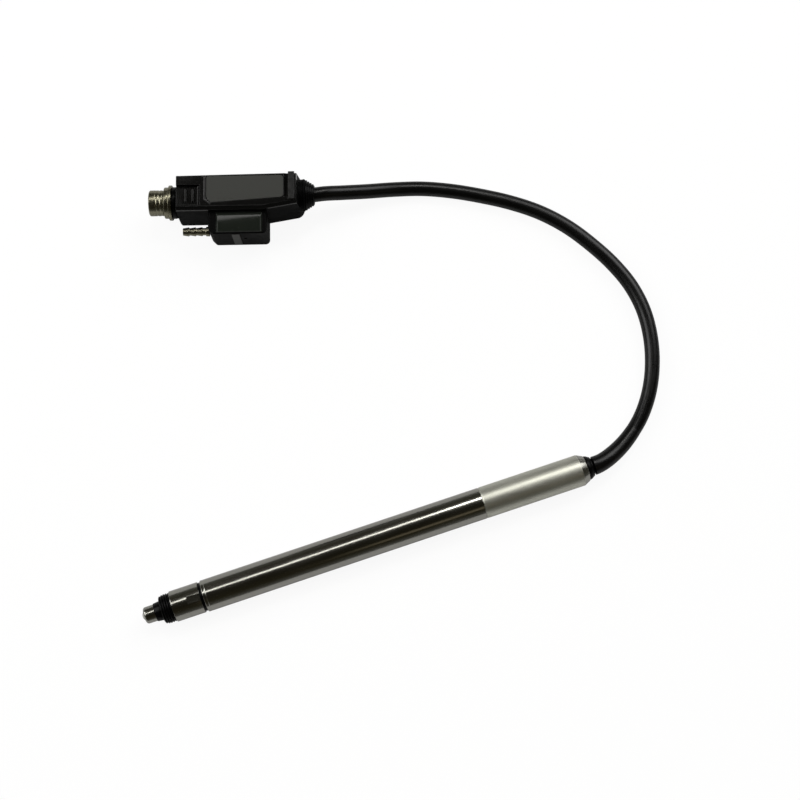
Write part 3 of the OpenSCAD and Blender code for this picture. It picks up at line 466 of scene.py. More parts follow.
def rub_marks():
    """Roughness that drifts between two values, stretched along X where the part is handled."""
    def build(n, given):
        stretch = n.stretched(given["Vector"], given["Stretch"])
        drift = n.noise(stretch, given["Scale"], 4.0, Roughness=0.6)
        return {"Value": n.ramp(drift, 0.3, 0.7, given["Low"], given["High"]), "Mask": drift}
    return shared("Rub marks", [("Vector", "Vector", None), ("Stretch", "Vector", (1, 1, 1)),
                                ("Scale", "Float", 200), ("Low", "Float", 0.2), ("High", "Float", 0.3)],
                  [("Value", "Float"), ("Mask", "Float")], build)


def fine_grain():
    """Even fine grain of a blasted, moulded or rubber surface: two noises, one 2.3 times as fine."""
    def build(n, given):
        coarse = n.noise(given["Vector"], given["Scale"], 2.0)
        fine = n.noise(given["Vector"], n.maths("MULTIPLY", given["Scale"], 2.3), 1.0)
        return {"Height": n.maths("ADD", coarse, fine)}
    return shared("Fine grain", [("Vector", "Vector", None), ("Scale", "Float", 4000)],
                  [("Height", "Float")], build)


def wear_and_sheen_colour():
    """Colour that turns to a pale tint on raised edges, which stands for scuffs and a painted highlight, and
    in sparse specks of dust.
    """
    def build(n, given):
        # Raised edges get the pale tint: scuffs and a painted edge highlight; the specks below are dust.
        edge = n.ramp(given["Edge"], PLAIN_EDGE, WEAR_AND_SHEEN_EDGE, 0.0, 1.0)
        broken = n.maths("MULTIPLY", edge, n.noise(given["Vector"], 900.0, 3.0))
        speck = n.ramp(n.noise(given["Vector"], 2600.0, 1.0), 0.72, 0.80, 0.0, 0.5)
        share = n.maths("MULTIPLY", n.maths("MAXIMUM", broken, speck), given["Amount"])
        return {"Colour": n.mix(share, given["Colour"], given["Worn"])}
    return shared("Worn colour", [("Vector", "Vector", None), ("Edge", "Float", 0.5),
                                  ("Colour", "Color", (0, 0, 0, 1)), ("Worn", "Color", (0.1, 0.1, 0.1, 1)),
                                  ("Amount", "Float", 0.5)],
                  [("Colour", "Color")], build)


def blank(name, base, **sockets):
    """A new material, its nodes, its shader and the piece's own coordinates. Where the material is there
    already, the other three are None."""
    material = bpy.data.materials.get(name)
    if material:
        return material, None, None, None
    material = bpy.data.materials.new(name)
    material.use_nodes = True
    n = Nodes(material.node_tree)
    shader = material.node_tree.nodes["Principled BSDF"]
    shader.inputs["Base Color"].default_value = (*base, 1)
    for key, value in sockets.items():
        shader.inputs[key.replace("_", " ")].default_value = value
    place = n.add("ShaderNodeTexCoord").outputs["Object"]
    return material, n, shader, place


def bump(n, shader, height, depth):
    """Relief of the given depth in metres on the shader's normal."""
    relief = n.add("ShaderNodeBump", {"Height": height, "Distance": depth})
    n.link(relief.outputs["Normal"], shader.inputs["Normal"])


def rubbed(n, shader, place, scale, low, high, stretch=(1, 1, 1)):
    """Rub marks in the shader's roughness. Returns their mask."""
    rub = n.group(rub_marks(), Vector=place, Stretch=stretch, Scale=scale, Low=low, High=high)
    n.link(rub.outputs["Value"], shader.inputs["Roughness"])
    return rub.outputs["Mask"]


def grained(n, shader, place, scale, depth):
    """Fine grain in the shader's relief. Returns its height."""
    skin = n.group(fine_grain(), Vector=place, Scale=scale)
    bump(n, shader, skin.outputs["Height"], depth)
    return skin.outputs["Height"]


def two_tone(n, shader, share, base, spread):
    """Base colour between the base darkened and the base lightened by the part spread of itself."""
    dark, light = ((*[min(1, c * (1 + part)) for c in base], 1) for part in (-spread, spread))
    n.link(n.mix(share, dark, light), shader.inputs["Base Color"])


def metal(name, base, low, high, stretch=(0.15, 1, 1), marks=420.0, lines=5200.0, depth=0.3e-6):
    """Bare metal: turning lines in its relief and rub marks in its roughness and tone."""
    material, n, shader, place = blank(name, base, Metallic=1.0, Roughness=(low + high) / 2)
    if n:
        mask = rubbed(n, shader, place, marks, low, high, stretch)
        tool = n.group(turning_lines(), Vector=place, Scale=lines)
        bump(n, shader, tool.outputs["Height"], depth)
        two_tone(n, shader, mask, base, 0.07)
    return material


def moulding(name, base, low, high, grain=5200.0, depth=1.5e-6, sheen_and_wear=0.5, tint=0.03, coat=0.0,
             specular=0.5, marked=False):
    """Moulded plastic or rubber: fine grain in its relief, rub marks in its roughness, dust, and a pale tint
    on the edges for scuffs and a painted edge highlight.
    The edges are the faces that moulded() has marked, or else those that stand out in the mesh."""
    material, n, shader, place = blank(name, base, Roughness=(low + high) / 2, Coat_Weight=coat,
                                       Coat_Roughness=0.12, Specular_IOR_Level=specular)
    if n:
        rubbed(n, shader, place, 260.0, low, high)
        grained(n, shader, place, grain, depth)
        if marked:
            mark = n.add("ShaderNodeAttribute", attribute_name="Edge").outputs["Fac"]
            edge = n.ramp(mark, 0.0, 1.0, FLAT_FACE, WEAR_AND_SHEEN_EDGE)
        else:
            edge = n.add("ShaderNodeNewGeometry").outputs["Pointiness"]
        # Pale tint of the edges: scuffs and a painted highlight
        pale = (*[min(1, c * 2.2 + tint) for c in base], 1)
        pale_tint = n.group(wear_and_sheen_colour(), Vector=place, Edge=edge, Colour=(*base, 1), Worn=pale, Amount=sheen_and_wear)
        n.link(pale_tint.outputs["Colour"], shader.inputs["Base Color"])
    return material


def colours():
    """The colours that the panel holds."""
    return bpy.context.scene.sensor_colours


def polished_steel():
    return metal("Polished steel", tuple(colours().steel), 0.15, 0.22)


def ball_steel():
    return metal("Ball steel", (0.66, 0.65, 0.63), 0.04, 0.08, stretch=(1, 1, 1), depth=0.05e-6)


def satin_steel():
    """Blasted steel: a broad gloss with fine even grain."""
    base = tuple(colours().satin)
    material, n, shader, place = blank("Satin steel", base, Metallic=1.0, Roughness=0.44)
    if n:
        rubbed(n, shader, place, 500.0, 0.41, 0.47, (0.3, 1, 1))
        height = grained(n, shader, place, 4200.0, 2.5e-6)
        two_tone(n, shader, n.ramp(height, 0.7, 1.3, 0.0, 1.0), base, 0.1)
    return material


def rubber():
    return moulding("Black rubber", tuple(colours().rubber), 0.24, 0.34, grain=3600.0, depth=1e-6,
                    sheen_and_wear=0.25, tint=0.01, specular=0.08)


def cable_jacket():
    """Smooth jacket: faint lengthwise drawing marks and soft dents that follow the cable's own map."""
    base = tuple(colours().jacket)
    material, n, shader, place = blank("Cable jacket", base, Roughness=0.30, Specular_IOR_Level=0.28)
    if n:
        own = n.add("ShaderNodeUVMap", uv_map=CABLE_MAP).outputs["UV"]
        rubbed(n, shader, own, 500.0, 0.26, 0.34, (0.3, 1, 1))
        bump(n, shader, n.noise(n.stretched(own, (0.06, 1, 1)), 2500.0, 3.0), 3e-6)
        dust = n.group(wear_and_sheen_colour(), Vector=place, Edge=FLAT_FACE, Colour=(*base, 1),
                       Worn=(0.03, 0.03, 0.03, 1), Amount=0.4)
        n.link(dust.outputs["Colour"], shader.inputs["Base Color"])
    return material


def lower_housing():
    return moulding("Lower housing", tuple(colours().base), 0.45, 0.55, grain=4800.0, depth=0.3e-6,
                    sheen_and_wear=0.6, tint=0.012, specular=0.03, marked=True)


def cover_plastic():
    return moulding("Cover plastic", tuple(colours().cover), 0.08, 0.11, grain=4800.0, depth=0.3e-6,
                    sheen_and_wear=0.9, tint=0.05, specular=0.18, marked=True)


def label_film():
    return moulding("Label film", tuple(colours().label), 0.30, 0.36, grain=7000.0, depth=0.4e-6,
                    sheen_and_wear=0.2, specular=0.15, marked=True)


def smoked_window():
    return moulding("Smoked window", tuple(colours().window), 0.05, 0.09, grain=1500.0, depth=0.2e-6,
                    sheen_and_wear=0.6, tint=0.06, specular=0.2, marked=True)


def nickel_brass():
    return metal("Nickel on brass", tuple(colours().nickel), 0.22, 0.32, stretch=(1, 1, 1), marks=900.0,
                 lines=4200.0, depth=0.4e-6)


def scale_glass():
    """Clear glass with a faint tint and a little haze."""
    material, n, shader, place = blank("Scale glass", (0.85, 0.95, 0.95), Roughness=0.05,
                                       Transmission_Weight=0.9, IOR=1.5)
    if n:
        rubbed(n, shader, place, 600.0, 0.02, 0.1)
    return material


def finishes():
    """Every finish, by the record's slot."""
    return {
        "ball_steel": ball_steel(),
        "turned_aluminium": metal("Turned aluminium", (0.72, 0.72, 0.73), 0.2, 0.32, depth=1e-6),
        "spring_steel": metal("Spring steel", (0.45, 0.45, 0.45), 0.2, 0.3, stretch=(1, 1, 1)),
        "cage_brass": metal("Drawn brass", (0.72, 0.56, 0.28), 0.2, 0.32),
        "gold_contact": metal("Gold plating", (0.85, 0.64, 0.3), 0.14, 0.24),
        "plated_steel": metal("Zinc plating", (0.5, 0.5, 0.5), 0.28, 0.42, stretch=(1, 1, 1)),
        "seal_rubber": moulding("Seal rubber", (0.015, 0.015, 0.015), 0.5, 0.65, sheen_and_wear=0.1),
        "black_plastic": moulding("Inner plastic", (0.014, 0.014, 0.015), 0.4, 0.5),
        "circuit_board": moulding("Solder mask", (0.012, 0.11, 0.04), 0.25, 0.35, grain=1800.0, sheen_and_wear=0.3),
        "lamp_white": moulding("Lamp resin", (0.75, 0.74, 0.68), 0.2, 0.3, sheen_and_wear=0.1),
        "sensor_dark": moulding("Sensor glass", (0.02, 0.035, 0.03), 0.08, 0.14, sheen_and_wear=0.05, coat=0.5),
        "hose_clear": moulding("Hose", (0.7, 0.72, 0.7), 0.3, 0.4, sheen_and_wear=0.1),
        "polished_steel": polished_steel(),
        "satin_steel": satin_steel(),
        "boot_rubber": rubber(),
        "cable_jacket": rubber(),
        "cover_plastic": cover_plastic(),
        "label_film": label_film(),
        "smoked_window": smoked_window(),
        "nickel_brass": nickel_brass(),
        "scale_glass": scale_glass(),
    }


class SensorPiece:
    """Common settings of the operators that build pieces."""

    bl_options = {"REGISTER", "UNDO"}


class SENSOR_OT_stage(SensorPiece, bpy.types.Operator):
    """Camera at the photograph's angle, table, lamps and surroundings"""

    bl_idname = "sensor.stage"
    bl_label = "Stage"

    def execute(self, context):
        scene = context.scene
        data = bpy.data.cameras.new("Camera")
        data.lens, data.sensor_width = CAMERA_LENS, CAMERA_SENSOR
        data.clip_start, data.clip_end = 0.01, 50
        camera = bpy.data.objects.new("Camera", data)
        camera.matrix_world = Matrix.Translation(CAMERA_PLACE) @ Matrix(CAMERA_AXES).transposed().to_4x4()
        scene.collection.objects.link(camera)
        scene.camera = camera
        self.table(scene)
        self.surroundings(scene)
        for lamp in LAMPS:
            self.lamp(scene, *lamp)
        scene.view_settings.view_transform = "Standard"
        return {"FINISHED"}

    def lamp(self, scene, name, place, size, watts, tint, turn):
        """An area lamp that faces the sensor, with its long side turned from the X axis by some degrees."""
        data = bpy.data.lights.new(name, "AREA")
        data.shape, data.size, data.size_y = "RECTANGLE", size[0], size[1]
        data.energy, data.color = watts, tint
        lamp = bpy.data.objects.new(name, data)
        spot = Vector(place)
        z = (spot - LAMP_AIM).normalized()
        along = Vector((math.cos(math.radians(turn)), math.sin(math.radians(turn)), 0))
        x = (along - z * along.dot(z)).normalized()
        lamp.matrix_world = Matrix.Translation(spot) @ Matrix((x, z.cross(x), z)).transposed().to_4x4()
        scene.collection.objects.link(lamp)

    def white_share(self, n, plain, gloss):
        """Share of white: plain for the camera and through glass, gloss in reflections."""
        path = n.add("ShaderNodeLightPath").outputs
        seen = n.maths("MAXIMUM", path["Is Camera Ray"], path["Is Transmission Ray"])
        faint = n.maths("MULTIPLY", path["Is Glossy Ray"], gloss)
        return n.maths("MAXIMUM", n.maths("MULTIPLY", seen, plain), faint)

    def table(self, scene):
        """A pale table, a hair below the pieces that lie on it. It takes shadows, and shows near white to the
        camera and in gloss and glass."""
        mesh = bpy.data.meshes.new("Table")
        hair = 0.02 * MM
        corners = [(x * TABLE_HALF, y * TABLE_HALF, TABLE_Z - hair)
                   for x, y in ((-1, -1), (1, -1), (1, 1), (-1, 1))]
        mesh.from_pydata(corners, [], [(0, 1, 2, 3)])
        table = bpy.data.objects.new("Table", mesh)
        scene.collection.objects.link(table)
        material = bpy.data.materials.new("Table")
        material.use_nodes = True
        n = Nodes(material.node_tree)
        n.tree.nodes.clear()
        floor = (*colours().floor, 1)
        matt = n.add("ShaderNodeBsdfDiffuse", {"Color": floor})
        glow = n.add("ShaderNodeEmission", {"Color": (1, 1, 1, 1), "Strength": 1.09})
        share = self.white_share(n, plain=0.85, gloss=0.15)
        mix = n.add("ShaderNodeMixShader", {0: share, 1: matt.outputs[0], 2: glow.outputs[0]})
        n.add("ShaderNodeOutputMaterial", {"Surface": mix.outputs[0]})
        mesh.materials.append(material)

    def surroundings(self, scene):
        """A dim room that is pale near the horizon. To the camera it is as white as the table."""
        world = bpy.data.worlds.new("Room")
        world.use_nodes = True
        scene.world = world
        n = Nodes(world.node_tree)
        n.tree.nodes.clear()
        place = n.add("ShaderNodeTexCoord").outputs["Generated"]
        height = n.add("ShaderNodeSeparateXYZ", {0: place}).outputs["Z"]
        ramp = n.add("ShaderNodeValToRGB", {0: height})
        while len(ramp.color_ramp.elements) < len(ROOM):
            ramp.color_ramp.elements.new(0.5)
        for element, (at, tint) in zip(ramp.color_ramp.elements, ROOM):
            element.position, element.color = at, (*tint, 1)
        share = self.white_share(n, plain=1.0, gloss=0.003)
        tint = n.mix(share, ramp.outputs["Color"], (0.93, 0.93, 0.93, 1))
        shine = n.add("ShaderNodeBackground", {"Color": tint, "Strength": 1.0})
        n.add("ShaderNodeOutputWorld", {"Surface": shine.outputs[0]})


class SENSOR_OT_cable(SensorPiece, bpy.types.Operator):
    """Cable on the table from the bend sleeve to the gland, and the bend sleeve itself"""

    bl_idname = "sensor.cable"
    bl_label = "Cable"

    def execute(self, context):
        sides = context.scene.sensor_sizes.cable_sides
        step = 0.5 * MM
        into_box = np.array([
            GLAND_END + 2 * MM * GLAND_HEADING + 0.35 * MM * GLAND_SIDE,
            GLAND_END + 0.12 * MM * GLAND_SIDE,
            GLAND_END - 4 * MM * GLAND_HEADING,
        ])
        route = np.vstack([BEND_ROUTE, FREE_ROUTE, into_box])
        path = smooth_path(route, step)
        along = distances(path)
        start = int(np.argmin(np.linalg.norm(path - BEND_ROUTE[-1], axis=1)))
        free = path[start - 2:]
        cable = tube("cable_jacket", free, CABLE_R, sides)
        put(cable, cable_jacket(), "cable_jacket", "cable")
        bend = path[:start + 1]
        radii = np.interp(along[:start + 1], distances(BEND_ROUTE), BEND_RADII)
        drawn_in = np.concatenate([[0.6], np.ones(len(radii) - 3), [0.985, 0.955]])
        sleeve = tube("bend_sleeve_skin", bend, radii * drawn_in, sides)
        put(sleeve, cable_jacket(), "boot_rubber", "bend_sleeve")
        return {"FINISHED"}


class SENSOR_OT_tip(SensorPiece, bpy.types.Operator):
    """Hard ball in its turned holder"""

    bl_idname = "sensor.tip"
    bl_label = "Contact tip"

    def execute(self, context):
        ball_r, stands_out = 1.5 * MM, 0.55 * MM
        a = np.linspace(0, math.pi, 49)
        centre = TIP_FACE - stands_out + ball_r
        sphere = np.stack([centre - ball_r * np.cos(a), ball_r * np.sin(a)], 1)
        ball = surface("tip_ball", lathe(sphere, 96))
        put(ball, ball_steel(), "ball_steel", "contact_ball", body="spindle")
        tip_r = 2.1 * MM
        groove_r = tip_r - 0.35 * MM
        groove, groove_end, inner = (COLLAR_FRONT + v * MM for v in (0.2, 1.4, 2.15))
        profile = [
            (TIP_FACE + 0.5 * MM, 1.44 * MM), (TIP_FACE, 1.3 * MM), (TIP_FACE, tip_r - 0.42 * MM),
            (TIP_FACE + 0.4 * MM, tip_r), (groove, tip_r), (groove, groove_r), (groove_end, groove_r),
            (groove_end, tip_r), (inner, tip_r), (inner, 0),
        ]
        holder = turned("tip_holder", profile, reach=0.22 * MM)
        put(holder, polished_steel(), "polished_steel", "contact_holder", body="spindle")
        return {"FINISHED"}


class SENSOR_OT_boot(SensorPiece, bpy.types.Operator):
    """Rubber boot, folded up behind the tip"""

    bl_idname = "sensor.boot"
    bl_label = "Dust boot"

    def execute(self, context):
        folds = context.scene.sensor_sizes.boot_folds
        t = np.linspace(0, 1, 16 * folds + 1)
        front_fall, rear_fall, fold_depth, wall, hole_r = (v * MM for v in (0.4, 0.1, 0.45, 0.3, 2.14))
        crest = BOOT_R - np.where(t < 0.5, front_fall, rear_fall) * (2 * t - 1) ** 2
        valley = crest - fold_depth
        wave = (0.5 - 0.5 * np.cos(2 * np.pi * folds * t)) ** 0.25
        x = BOOT_FRONT + t * (NOSE_FRONT - BOOT_FRONT)
        outer = np.stack([x, valley + fold_depth * wave], 1)
        inner = np.stack([x, valley - wall + 0.3 * fold_depth * wave], 1)[::-1]
        collar = np.array([
            [COLLAR_FRONT, hole_r], [COLLAR_FRONT, 2.2 * MM], [COLLAR_FRONT + 0.1 * MM, 2.28 * MM],
            [BOOT_FRONT - 0.05 * MM, 2.45 * MM],
        ])
        bead = np.array([
            [NOSE_FRONT, 2.65 * MM], [NOSE_FRONT + 0.5 * MM, 2.65 * MM], [NOSE_FRONT + 0.5 * MM, 2.35 * MM],
        ])
        profile = np.vstack([collar, outer, bead, inner, [[BOOT_FRONT, hole_r]], collar[:1]])
        boot = surface("boot_skin", lathe(profile, context.scene.sensor_sizes.sides), sharp=60)
        put(boot, rubber(), "boot_rubber", "dust_boot", ride=False)
        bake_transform(boot)
        return {"FINISHED"}


class SENSOR_OT_nose(SensorPiece, bpy.types.Operator):
    """Nose ring with two spanner flats, and the black ring behind it"""

    bl_idname = "sensor.nose"
    bl_label = "Nose ring"

    def execute(self, context):
        sides = context.scene.sensor_sizes.sides
        flat_h, flat_front = NOSE_R - 0.1 * MM, NOSE_REAR - 3.3 * MM
        edge = math.acos(flat_h / NOSE_R)
        quarter = math.pi / 2
        flat_edges = [quarter - edge, quarter + edge, 3 * quarter - edge, 3 * quarter + edge]
        a = np.sort(np.concatenate([round_angles(sides), flat_edges]))
        profile = soften([
            (NOSE_FRONT + 1.5 * MM, 2.75 * MM), (NOSE_FRONT, 2.75 * MM), (NOSE_FRONT, NOSE_R - 0.05 * MM),
            (NOSE_FRONT + 0.1 * MM, NOSE_R), (flat_front, NOSE_R), (flat_front + 0.01 * MM, NOSE_R),
            (NOSE_REAR - 0.03 * MM, NOSE_R), (NOSE_REAR, NOSE_R - 0.05 * MM), (NOSE_REAR, 2.9 * MM),
        ], 0.1 * MM)
        x, r = profile[:, :1], profile[:, 1:]
        cut = np.where(x > flat_front + 0.005 * MM, flat_h / np.maximum(np.abs(np.sin(a))[None], 1e-6), 1.0)
        ring = surface("nose_skin", around(x, np.minimum(r, cut), a), sharp=8)
        put(ring, polished_steel(), "polished_steel", "nose_ring")
        front, rear, seal_r = NOSE_REAR - 0.02 * MM, STEM_FRONT + 0.02 * MM, NOSE_R - 0.28 * MM
        seal = turned("seal_skin", [(front, 3 * MM), (front, seal_r), (rear, seal_r), (rear, 3 * MM)],
                      reach=0.2 * MM)
        put(seal, rubber(), "seal_rubber", "nose_seal")
        return {"FINISHED"}


class SENSOR_OT_stem(SensorPiece, bpy.types.Operator):
    """Polished stem with a fine ring line near its front"""

    bl_idname = "sensor.stem"
    bl_label = "Stem"

    def execute(self, context):
        line = STEM_FRONT + 0.85 * MM
        profile = [
            (STEM_FRONT, 2.9 * MM), (STEM_FRONT, STEM_R - 0.14 * MM), (STEM_FRONT + 0.14 * MM, STEM_R),
            (line - 0.09 * MM, STEM_R), (line, STEM_R - 0.08 * MM), (line + 0.09 * MM, STEM_R),
            (STEM_REAR - 0.16 * MM, STEM_R), (STEM_REAR, STEM_R - 0.1 * MM), (STEM_REAR, 2.9 * MM),
        ]
        stem = turned("stem_skin", profile, reach=0.05 * MM)
        put(stem, polished_steel(), "polished_steel", "stem_tube")
        return {"FINISHED"}


class SENSOR_OT_sleeve(SensorPiece, bpy.types.Operator):
    """Satin rear sleeve with a polished chamfer, and the rubber bush in its end"""

    bl_idname = "sensor.sleeve"
    bl_label = "Rear sleeve"

    def execute(self, context):
        chamfer = SLEEVE_REAR - 1.6 * MM
        sleeve = turned("sleeve_skin", [
            (STEM_REAR, 3 * MM), (STEM_REAR, STEM_R - 0.12 * MM), (STEM_REAR + 0.25 * MM, STEM_R),
            (chamfer, STEM_R), (chamfer + 0.02 * MM, STEM_R - 0.012 * MM),
        ], reach=0.06 * MM)
        put(sleeve, satin_steel(), "satin_steel", "rear_sleeve")
        end = turned("sleeve_chamfer", [
            (chamfer + 0.02 * MM, STEM_R - 0.012 * MM), (SLEEVE_REAR - 0.05 * MM, 3.24 * MM),
            (SLEEVE_REAR, 3.15 * MM), (SLEEVE_REAR, 2.4 * MM),
        ], reach=0.08 * MM)
        put(end, polished_steel(), "satin_steel")
        profile = [
            (SLEEVE_REAR - 0.05 * MM, 3.05 * MM), (SLEEVE_REAR + 0.4 * MM, 3.05 * MM),
            (SLEEVE_REAR + 0.85 * MM, 2.85 * MM), (BUSH_REAR - 0.2 * MM, 2.54 * MM), (BUSH_REAR, 2.48 * MM),
            (BUSH_REAR, 1.2 * MM),
        ]
        bush = turned("bush_skin", profile, reach=0.1 * MM)
        put(bush, rubber(), "boot_rubber", "cable_bush")
        return {"FINISHED"}


class SENSOR_OT_housing(SensorPiece, bpy.types.Operator):
    """Lower housing, cover, bare label, side tag and smoked window of the relay box"""

    bl_idname = "sensor.housing"
    bl_label = "Relay box"

    def execute(self, context):
        width = context.scene.sensor_sizes.moulding_round
        # Faces of the cover above this height, the top of its strap, get the pale edge tint as a painted
        # highlight
        label_corner, painted_sheen_height = 0.7 * MM, 9.08 * MM
        pieces = [
            ("lower_shell", "housing_base", (width,), lower_housing(), "black_plastic"),
            ("cover_shell", "housing_cover", (width, 0, painted_sheen_height), cover_plastic(), "cover_plastic"),
            ("label_face", "label_plate", (0.5 * width, label_corner), label_film(), "label_film"),
            ("tag_face", "side_tag", (0.4 * width,), label_film(), "label_film"),
            ("window_pane", "indicator_window", (width,), smoked_window(), "smoked_window"),
        ]
        for name, node, rounding, material, slot in pieces:
            put(moulded(name, node, *rounding), material, slot, node)
        return {"FINISHED"}


class SENSOR_OT_connector(SensorPiece, bpy.types.Operator):
    """Threaded connector with its flange rings and seal"""

    bl_idname = "sensor.connector"
    bl_label = "Connector"

    def execute(self, context):
        sizes = context.scene.sensor_sizes
        place = at_port(0)
        front, ring1, ring2, seal, left = (v * MM for v in (-6.65, -2.75, -1.6, -0.75, 0.35))
        thread_r, run_in, run_out, neck_depth = (v * MM for v in (3.3, 0.4, 0.3, 0.25))
        x = np.linspace(front + 0.25 * MM, ring1 - 0.02 * MM, 90)[:, None]
        a = round_angles(sizes.sides)[None]
        turn = (x - front) / sizes.thread_pitch - a / (2 * np.pi)
        groove = (0.5 - 0.5 * np.cos(2 * np.pi * turn)) ** 2.5
        begins = np.clip((x - front - 1.5 * MM) / run_in, 0, 1)
        ends = np.clip((ring1 - x) / run_out, 0, 1)
        r = thread_r - sizes.thread_depth * groove * begins - neck_depth * (1 - ends)
        mouth = lathe([
            (front + 3 * MM, 2.7 * MM), (front + 0.06 * MM, 2.7 * MM), (front, 2.76 * MM),
            (front, thread_r - 0.26 * MM), (front + 0.06 * MM, thread_r - 0.16 * MM),
            (front + 0.2 * MM, thread_r - 0.02 * MM)], sizes.sides)
        shell = surface("connector_thread", place(np.concatenate([mouth, around(x, r, a)])))
        put(shell, nickel_brass(), "nickel_brass", "connector_shell")
        flange = turned("connector_flange", [
            (ring1, 2.6 * MM), (ring1, 3.9 * MM), (ring1 + 0.12 * MM, 4 * MM), (ring2 - 0.1 * MM, 4 * MM),
            (ring2 - 0.02 * MM, 3.92 * MM), (ring2 + 0.02 * MM, 4.4 * MM), (ring2 + 0.12 * MM, 4.5 * MM),
            (seal - 0.08 * MM, 4.5 * MM), (seal, 4.4 * MM), (seal, 3 * MM)], place=place)
        put(flange, nickel_brass(), "nickel_brass")
        ring = turned("connector_ring", [
            (seal - 0.02 * MM, 2.6 * MM), (seal - 0.02 * MM, 3.95 * MM), (seal + 0.25 * MM, 4.05 * MM),
            (left - 0.2 * MM, 4.05 * MM), (left + 0.01 * MM, 3.95 * MM), (left + 0.01 * MM, 3 * MM)],
            reach=0.2 * MM, place=place)
        put(ring, rubber(), "seal_rubber", "connector_seal")
        return {"FINISHED"}


class SENSOR_OT_nozzle(SensorPiece, bpy.types.Operator):
    """Barbed nozzle for the air line"""

    bl_idname = "sensor.nozzle"
    bl_label = "Air nozzle"

    def execute(self, context):
        front, wall, barb_r, neck_r, bore_r = (v * MM for v in (1.95, 8.75, 1.15, 0.95, 0.5))
        barbs, pitch, foot = 3, 1.7 * MM, wall - 0.9 * MM
        start = front + 0.2 * MM + pitch * np.arange(barbs)[:, None]
        steps = np.array([0, 1.2, 1.35, 1.4]) * MM
        radii = np.tile([neck_r, barb_r, barb_r, neck_r], barbs)
        profile = np.vstack([
            [[front + 2 * MM, bore_r], [front, bore_r], [front, neck_r]],
            np.stack([(start + steps).ravel(), radii], 1),
            [[foot, neck_r], [foot, 1.2 * MM], [wall, 1.25 * MM], [wall, 0.9 * MM]]])
        nozzle = turned("nozzle_skin", profile, reach=0.1 * MM, place=at_port(NOZZLE_Y))
        put(nozzle, nickel_brass(), "nickel_brass", "air_nozzle")
        return {"FINISHED"}


class SENSOR_OT_gland(SensorPiece, bpy.types.Operator):
    """Nut and ribbed rubber gland round the cable"""

    bl_idname = "sensor.gland"
    bl_label = "Gland"

    def execute(self, context):
        place = at_port(GLAND_Y)
        seat, nut_end, r = 32.6 * MM, 33.45 * MM, 4.15 * MM
        nut = turned("gland_nut_skin", [
            (seat - 0.01 * MM, 2.5 * MM), (seat - 0.01 * MM, r - 0.15 * MM), (seat + 0.14 * MM, r),
            (nut_end - 0.35 * MM, r), (nut_end, r - 0.35 * MM), (nut_end, 2.4 * MM)],
            reach=0.1 * MM, place=place)
        put(nut, lower_housing(), "black_plastic", "gland_nut")
        pitch = 0.56 * MM
        rib = np.array([3.9, 3.55, 3.2, 2.85])[:, None] * MM
        start = nut_end + pitch * np.arange(4)[:, None]
        x = start + np.array([0, 0.08, 0.36, 0.42, 0.56]) * MM
        radii = rib + np.array([-0.1, 0, -0.12, -0.38, -0.42]) * MM
        ribs = np.stack([x.ravel(), radii.ravel()], 1)
        profile = np.vstack([
            [[nut_end - 0.1 * MM, 2.4 * MM]], ribs, [[GLAND_REAR, 1.95 * MM], [GLAND_REAR, 1.6 * MM]]])
        gland = turned("gland_skin", profile, reach=0.08 * MM, place=place)
        put(gland, rubber(), "boot_rubber", "cable_gland")
        return {"FINISHED"}


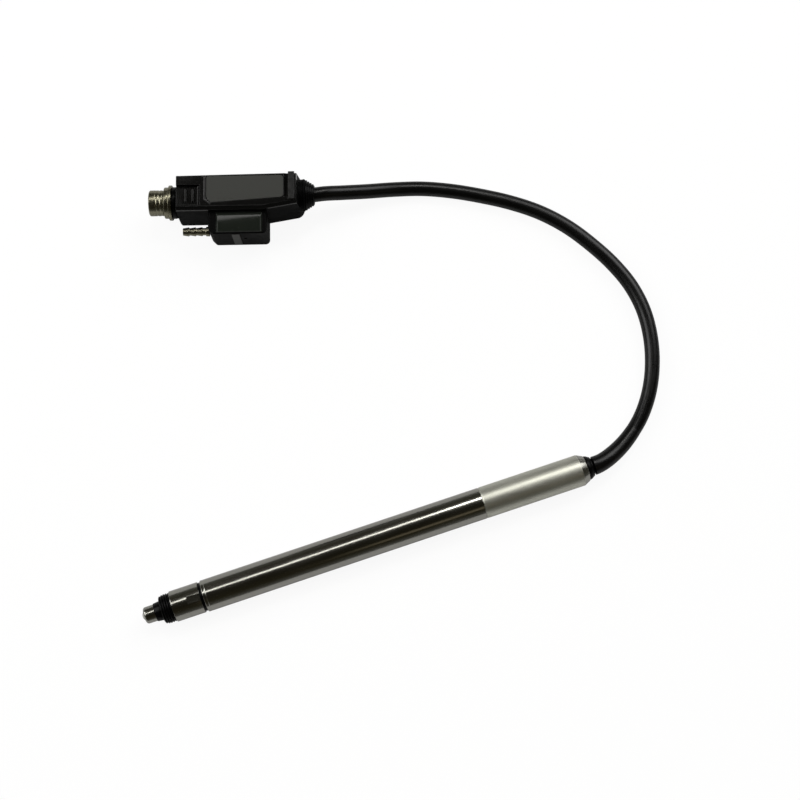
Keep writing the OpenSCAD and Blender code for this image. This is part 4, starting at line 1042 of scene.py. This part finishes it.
class SENSOR_OT_inside(SensorPiece, bpy.types.Operator):
    """Return spring, and finishes on every node that stays as it is"""

    bl_idname = "sensor.inside"
    bl_label = "Inside"

    def execute(self, context):
        low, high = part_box("return_spring")
        wire, coil, turns, wire_sides = 0.22 * MM, 2.55 * MM, 11, 10
        t = np.linspace(0, 1, 24 * turns + 1)
        closed_turn, pitch_there = 1 / turns, 2.1 * wire
        open_end = high.x - low.x - 2 * wire - pitch_there
        x = low.x + wire + np.interp(t, [0, closed_turn, 1 - closed_turn, 1],
                                     [0, pitch_there, open_end, pitch_there + open_end])
        a = 2 * np.pi * turns * t
        out = np.stack([np.zeros_like(a), np.cos(a), np.sin(a)], 1)
        k = round_angles(wire_sides)
        centre = np.stack([x, np.zeros_like(x), np.zeros_like(x)], 1) + coil * out
        ring = centre[:, None] - wire * (np.cos(k)[None, :, None] * out[:, None]
                                         + np.sin(k)[None, :, None] * np.array([1.0, 0, 0]))
        ends = np.repeat(centre[[0, -1], None], wire_sides, axis=1)
        spring = surface("spring_wire", np.concatenate([ends[:1], ring, ends[1:]]))
        by_slot = finishes()
        put(spring, by_slot["spring_steel"], "spring_steel", "return_spring")
        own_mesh(spring)
        slots = {s["node"]: s["material_slot"] for s in frame["record"]["subparts"]}
        for name, node in frame["nodes"].items():
            for place in node.material_slots:
                place.material = by_slot[slots[name]]
        return {"FINISHED"}


PIECES = (SENSOR_OT_stage, SENSOR_OT_cable, SENSOR_OT_tip, SENSOR_OT_boot, SENSOR_OT_nose, SENSOR_OT_stem,
          SENSOR_OT_sleeve, SENSOR_OT_housing, SENSOR_OT_connector, SENSOR_OT_nozzle, SENSOR_OT_gland,
          SENSOR_OT_inside)


class SENSOR_PT_panel(bpy.types.Panel):
    """Buttons for the pieces, with their sizes and colours"""

    bl_idname = "SENSOR_PT_panel"
    bl_label = "Contact displacement sensor"
    bl_space_type = "VIEW_3D"
    bl_region_type = "UI"
    bl_category = "Sensor"

    def draw(self, context):
        column = self.layout.column(align=True)
        for piece in PIECES:
            column.operator(piece.bl_idname)
        for group in (context.scene.sensor_sizes, context.scene.sensor_colours):
            box = self.layout.box()
            for name in group.__annotations__:
                box.prop(group, name)


CLASSES = (SensorSizes, SensorColours, *PIECES, SENSOR_PT_panel)


def register():
    for cls in CLASSES:
        bpy.utils.register_class(cls)
    bpy.types.Scene.sensor_sizes = bpy.props.PointerProperty(type=SensorSizes)
    bpy.types.Scene.sensor_colours = bpy.props.PointerProperty(type=SensorColours)


def unregister():
    del bpy.types.Scene.sensor_colours
    del bpy.types.Scene.sensor_sizes
    for cls in reversed(CLASSES):
        bpy.utils.unregister_class(cls)


def main():
    register()
    for piece in PIECES:
        group, name = piece.bl_idname.split(".")
        getattr(getattr(bpy.ops, group), name)()


if __name__ == "__main__":
    main()
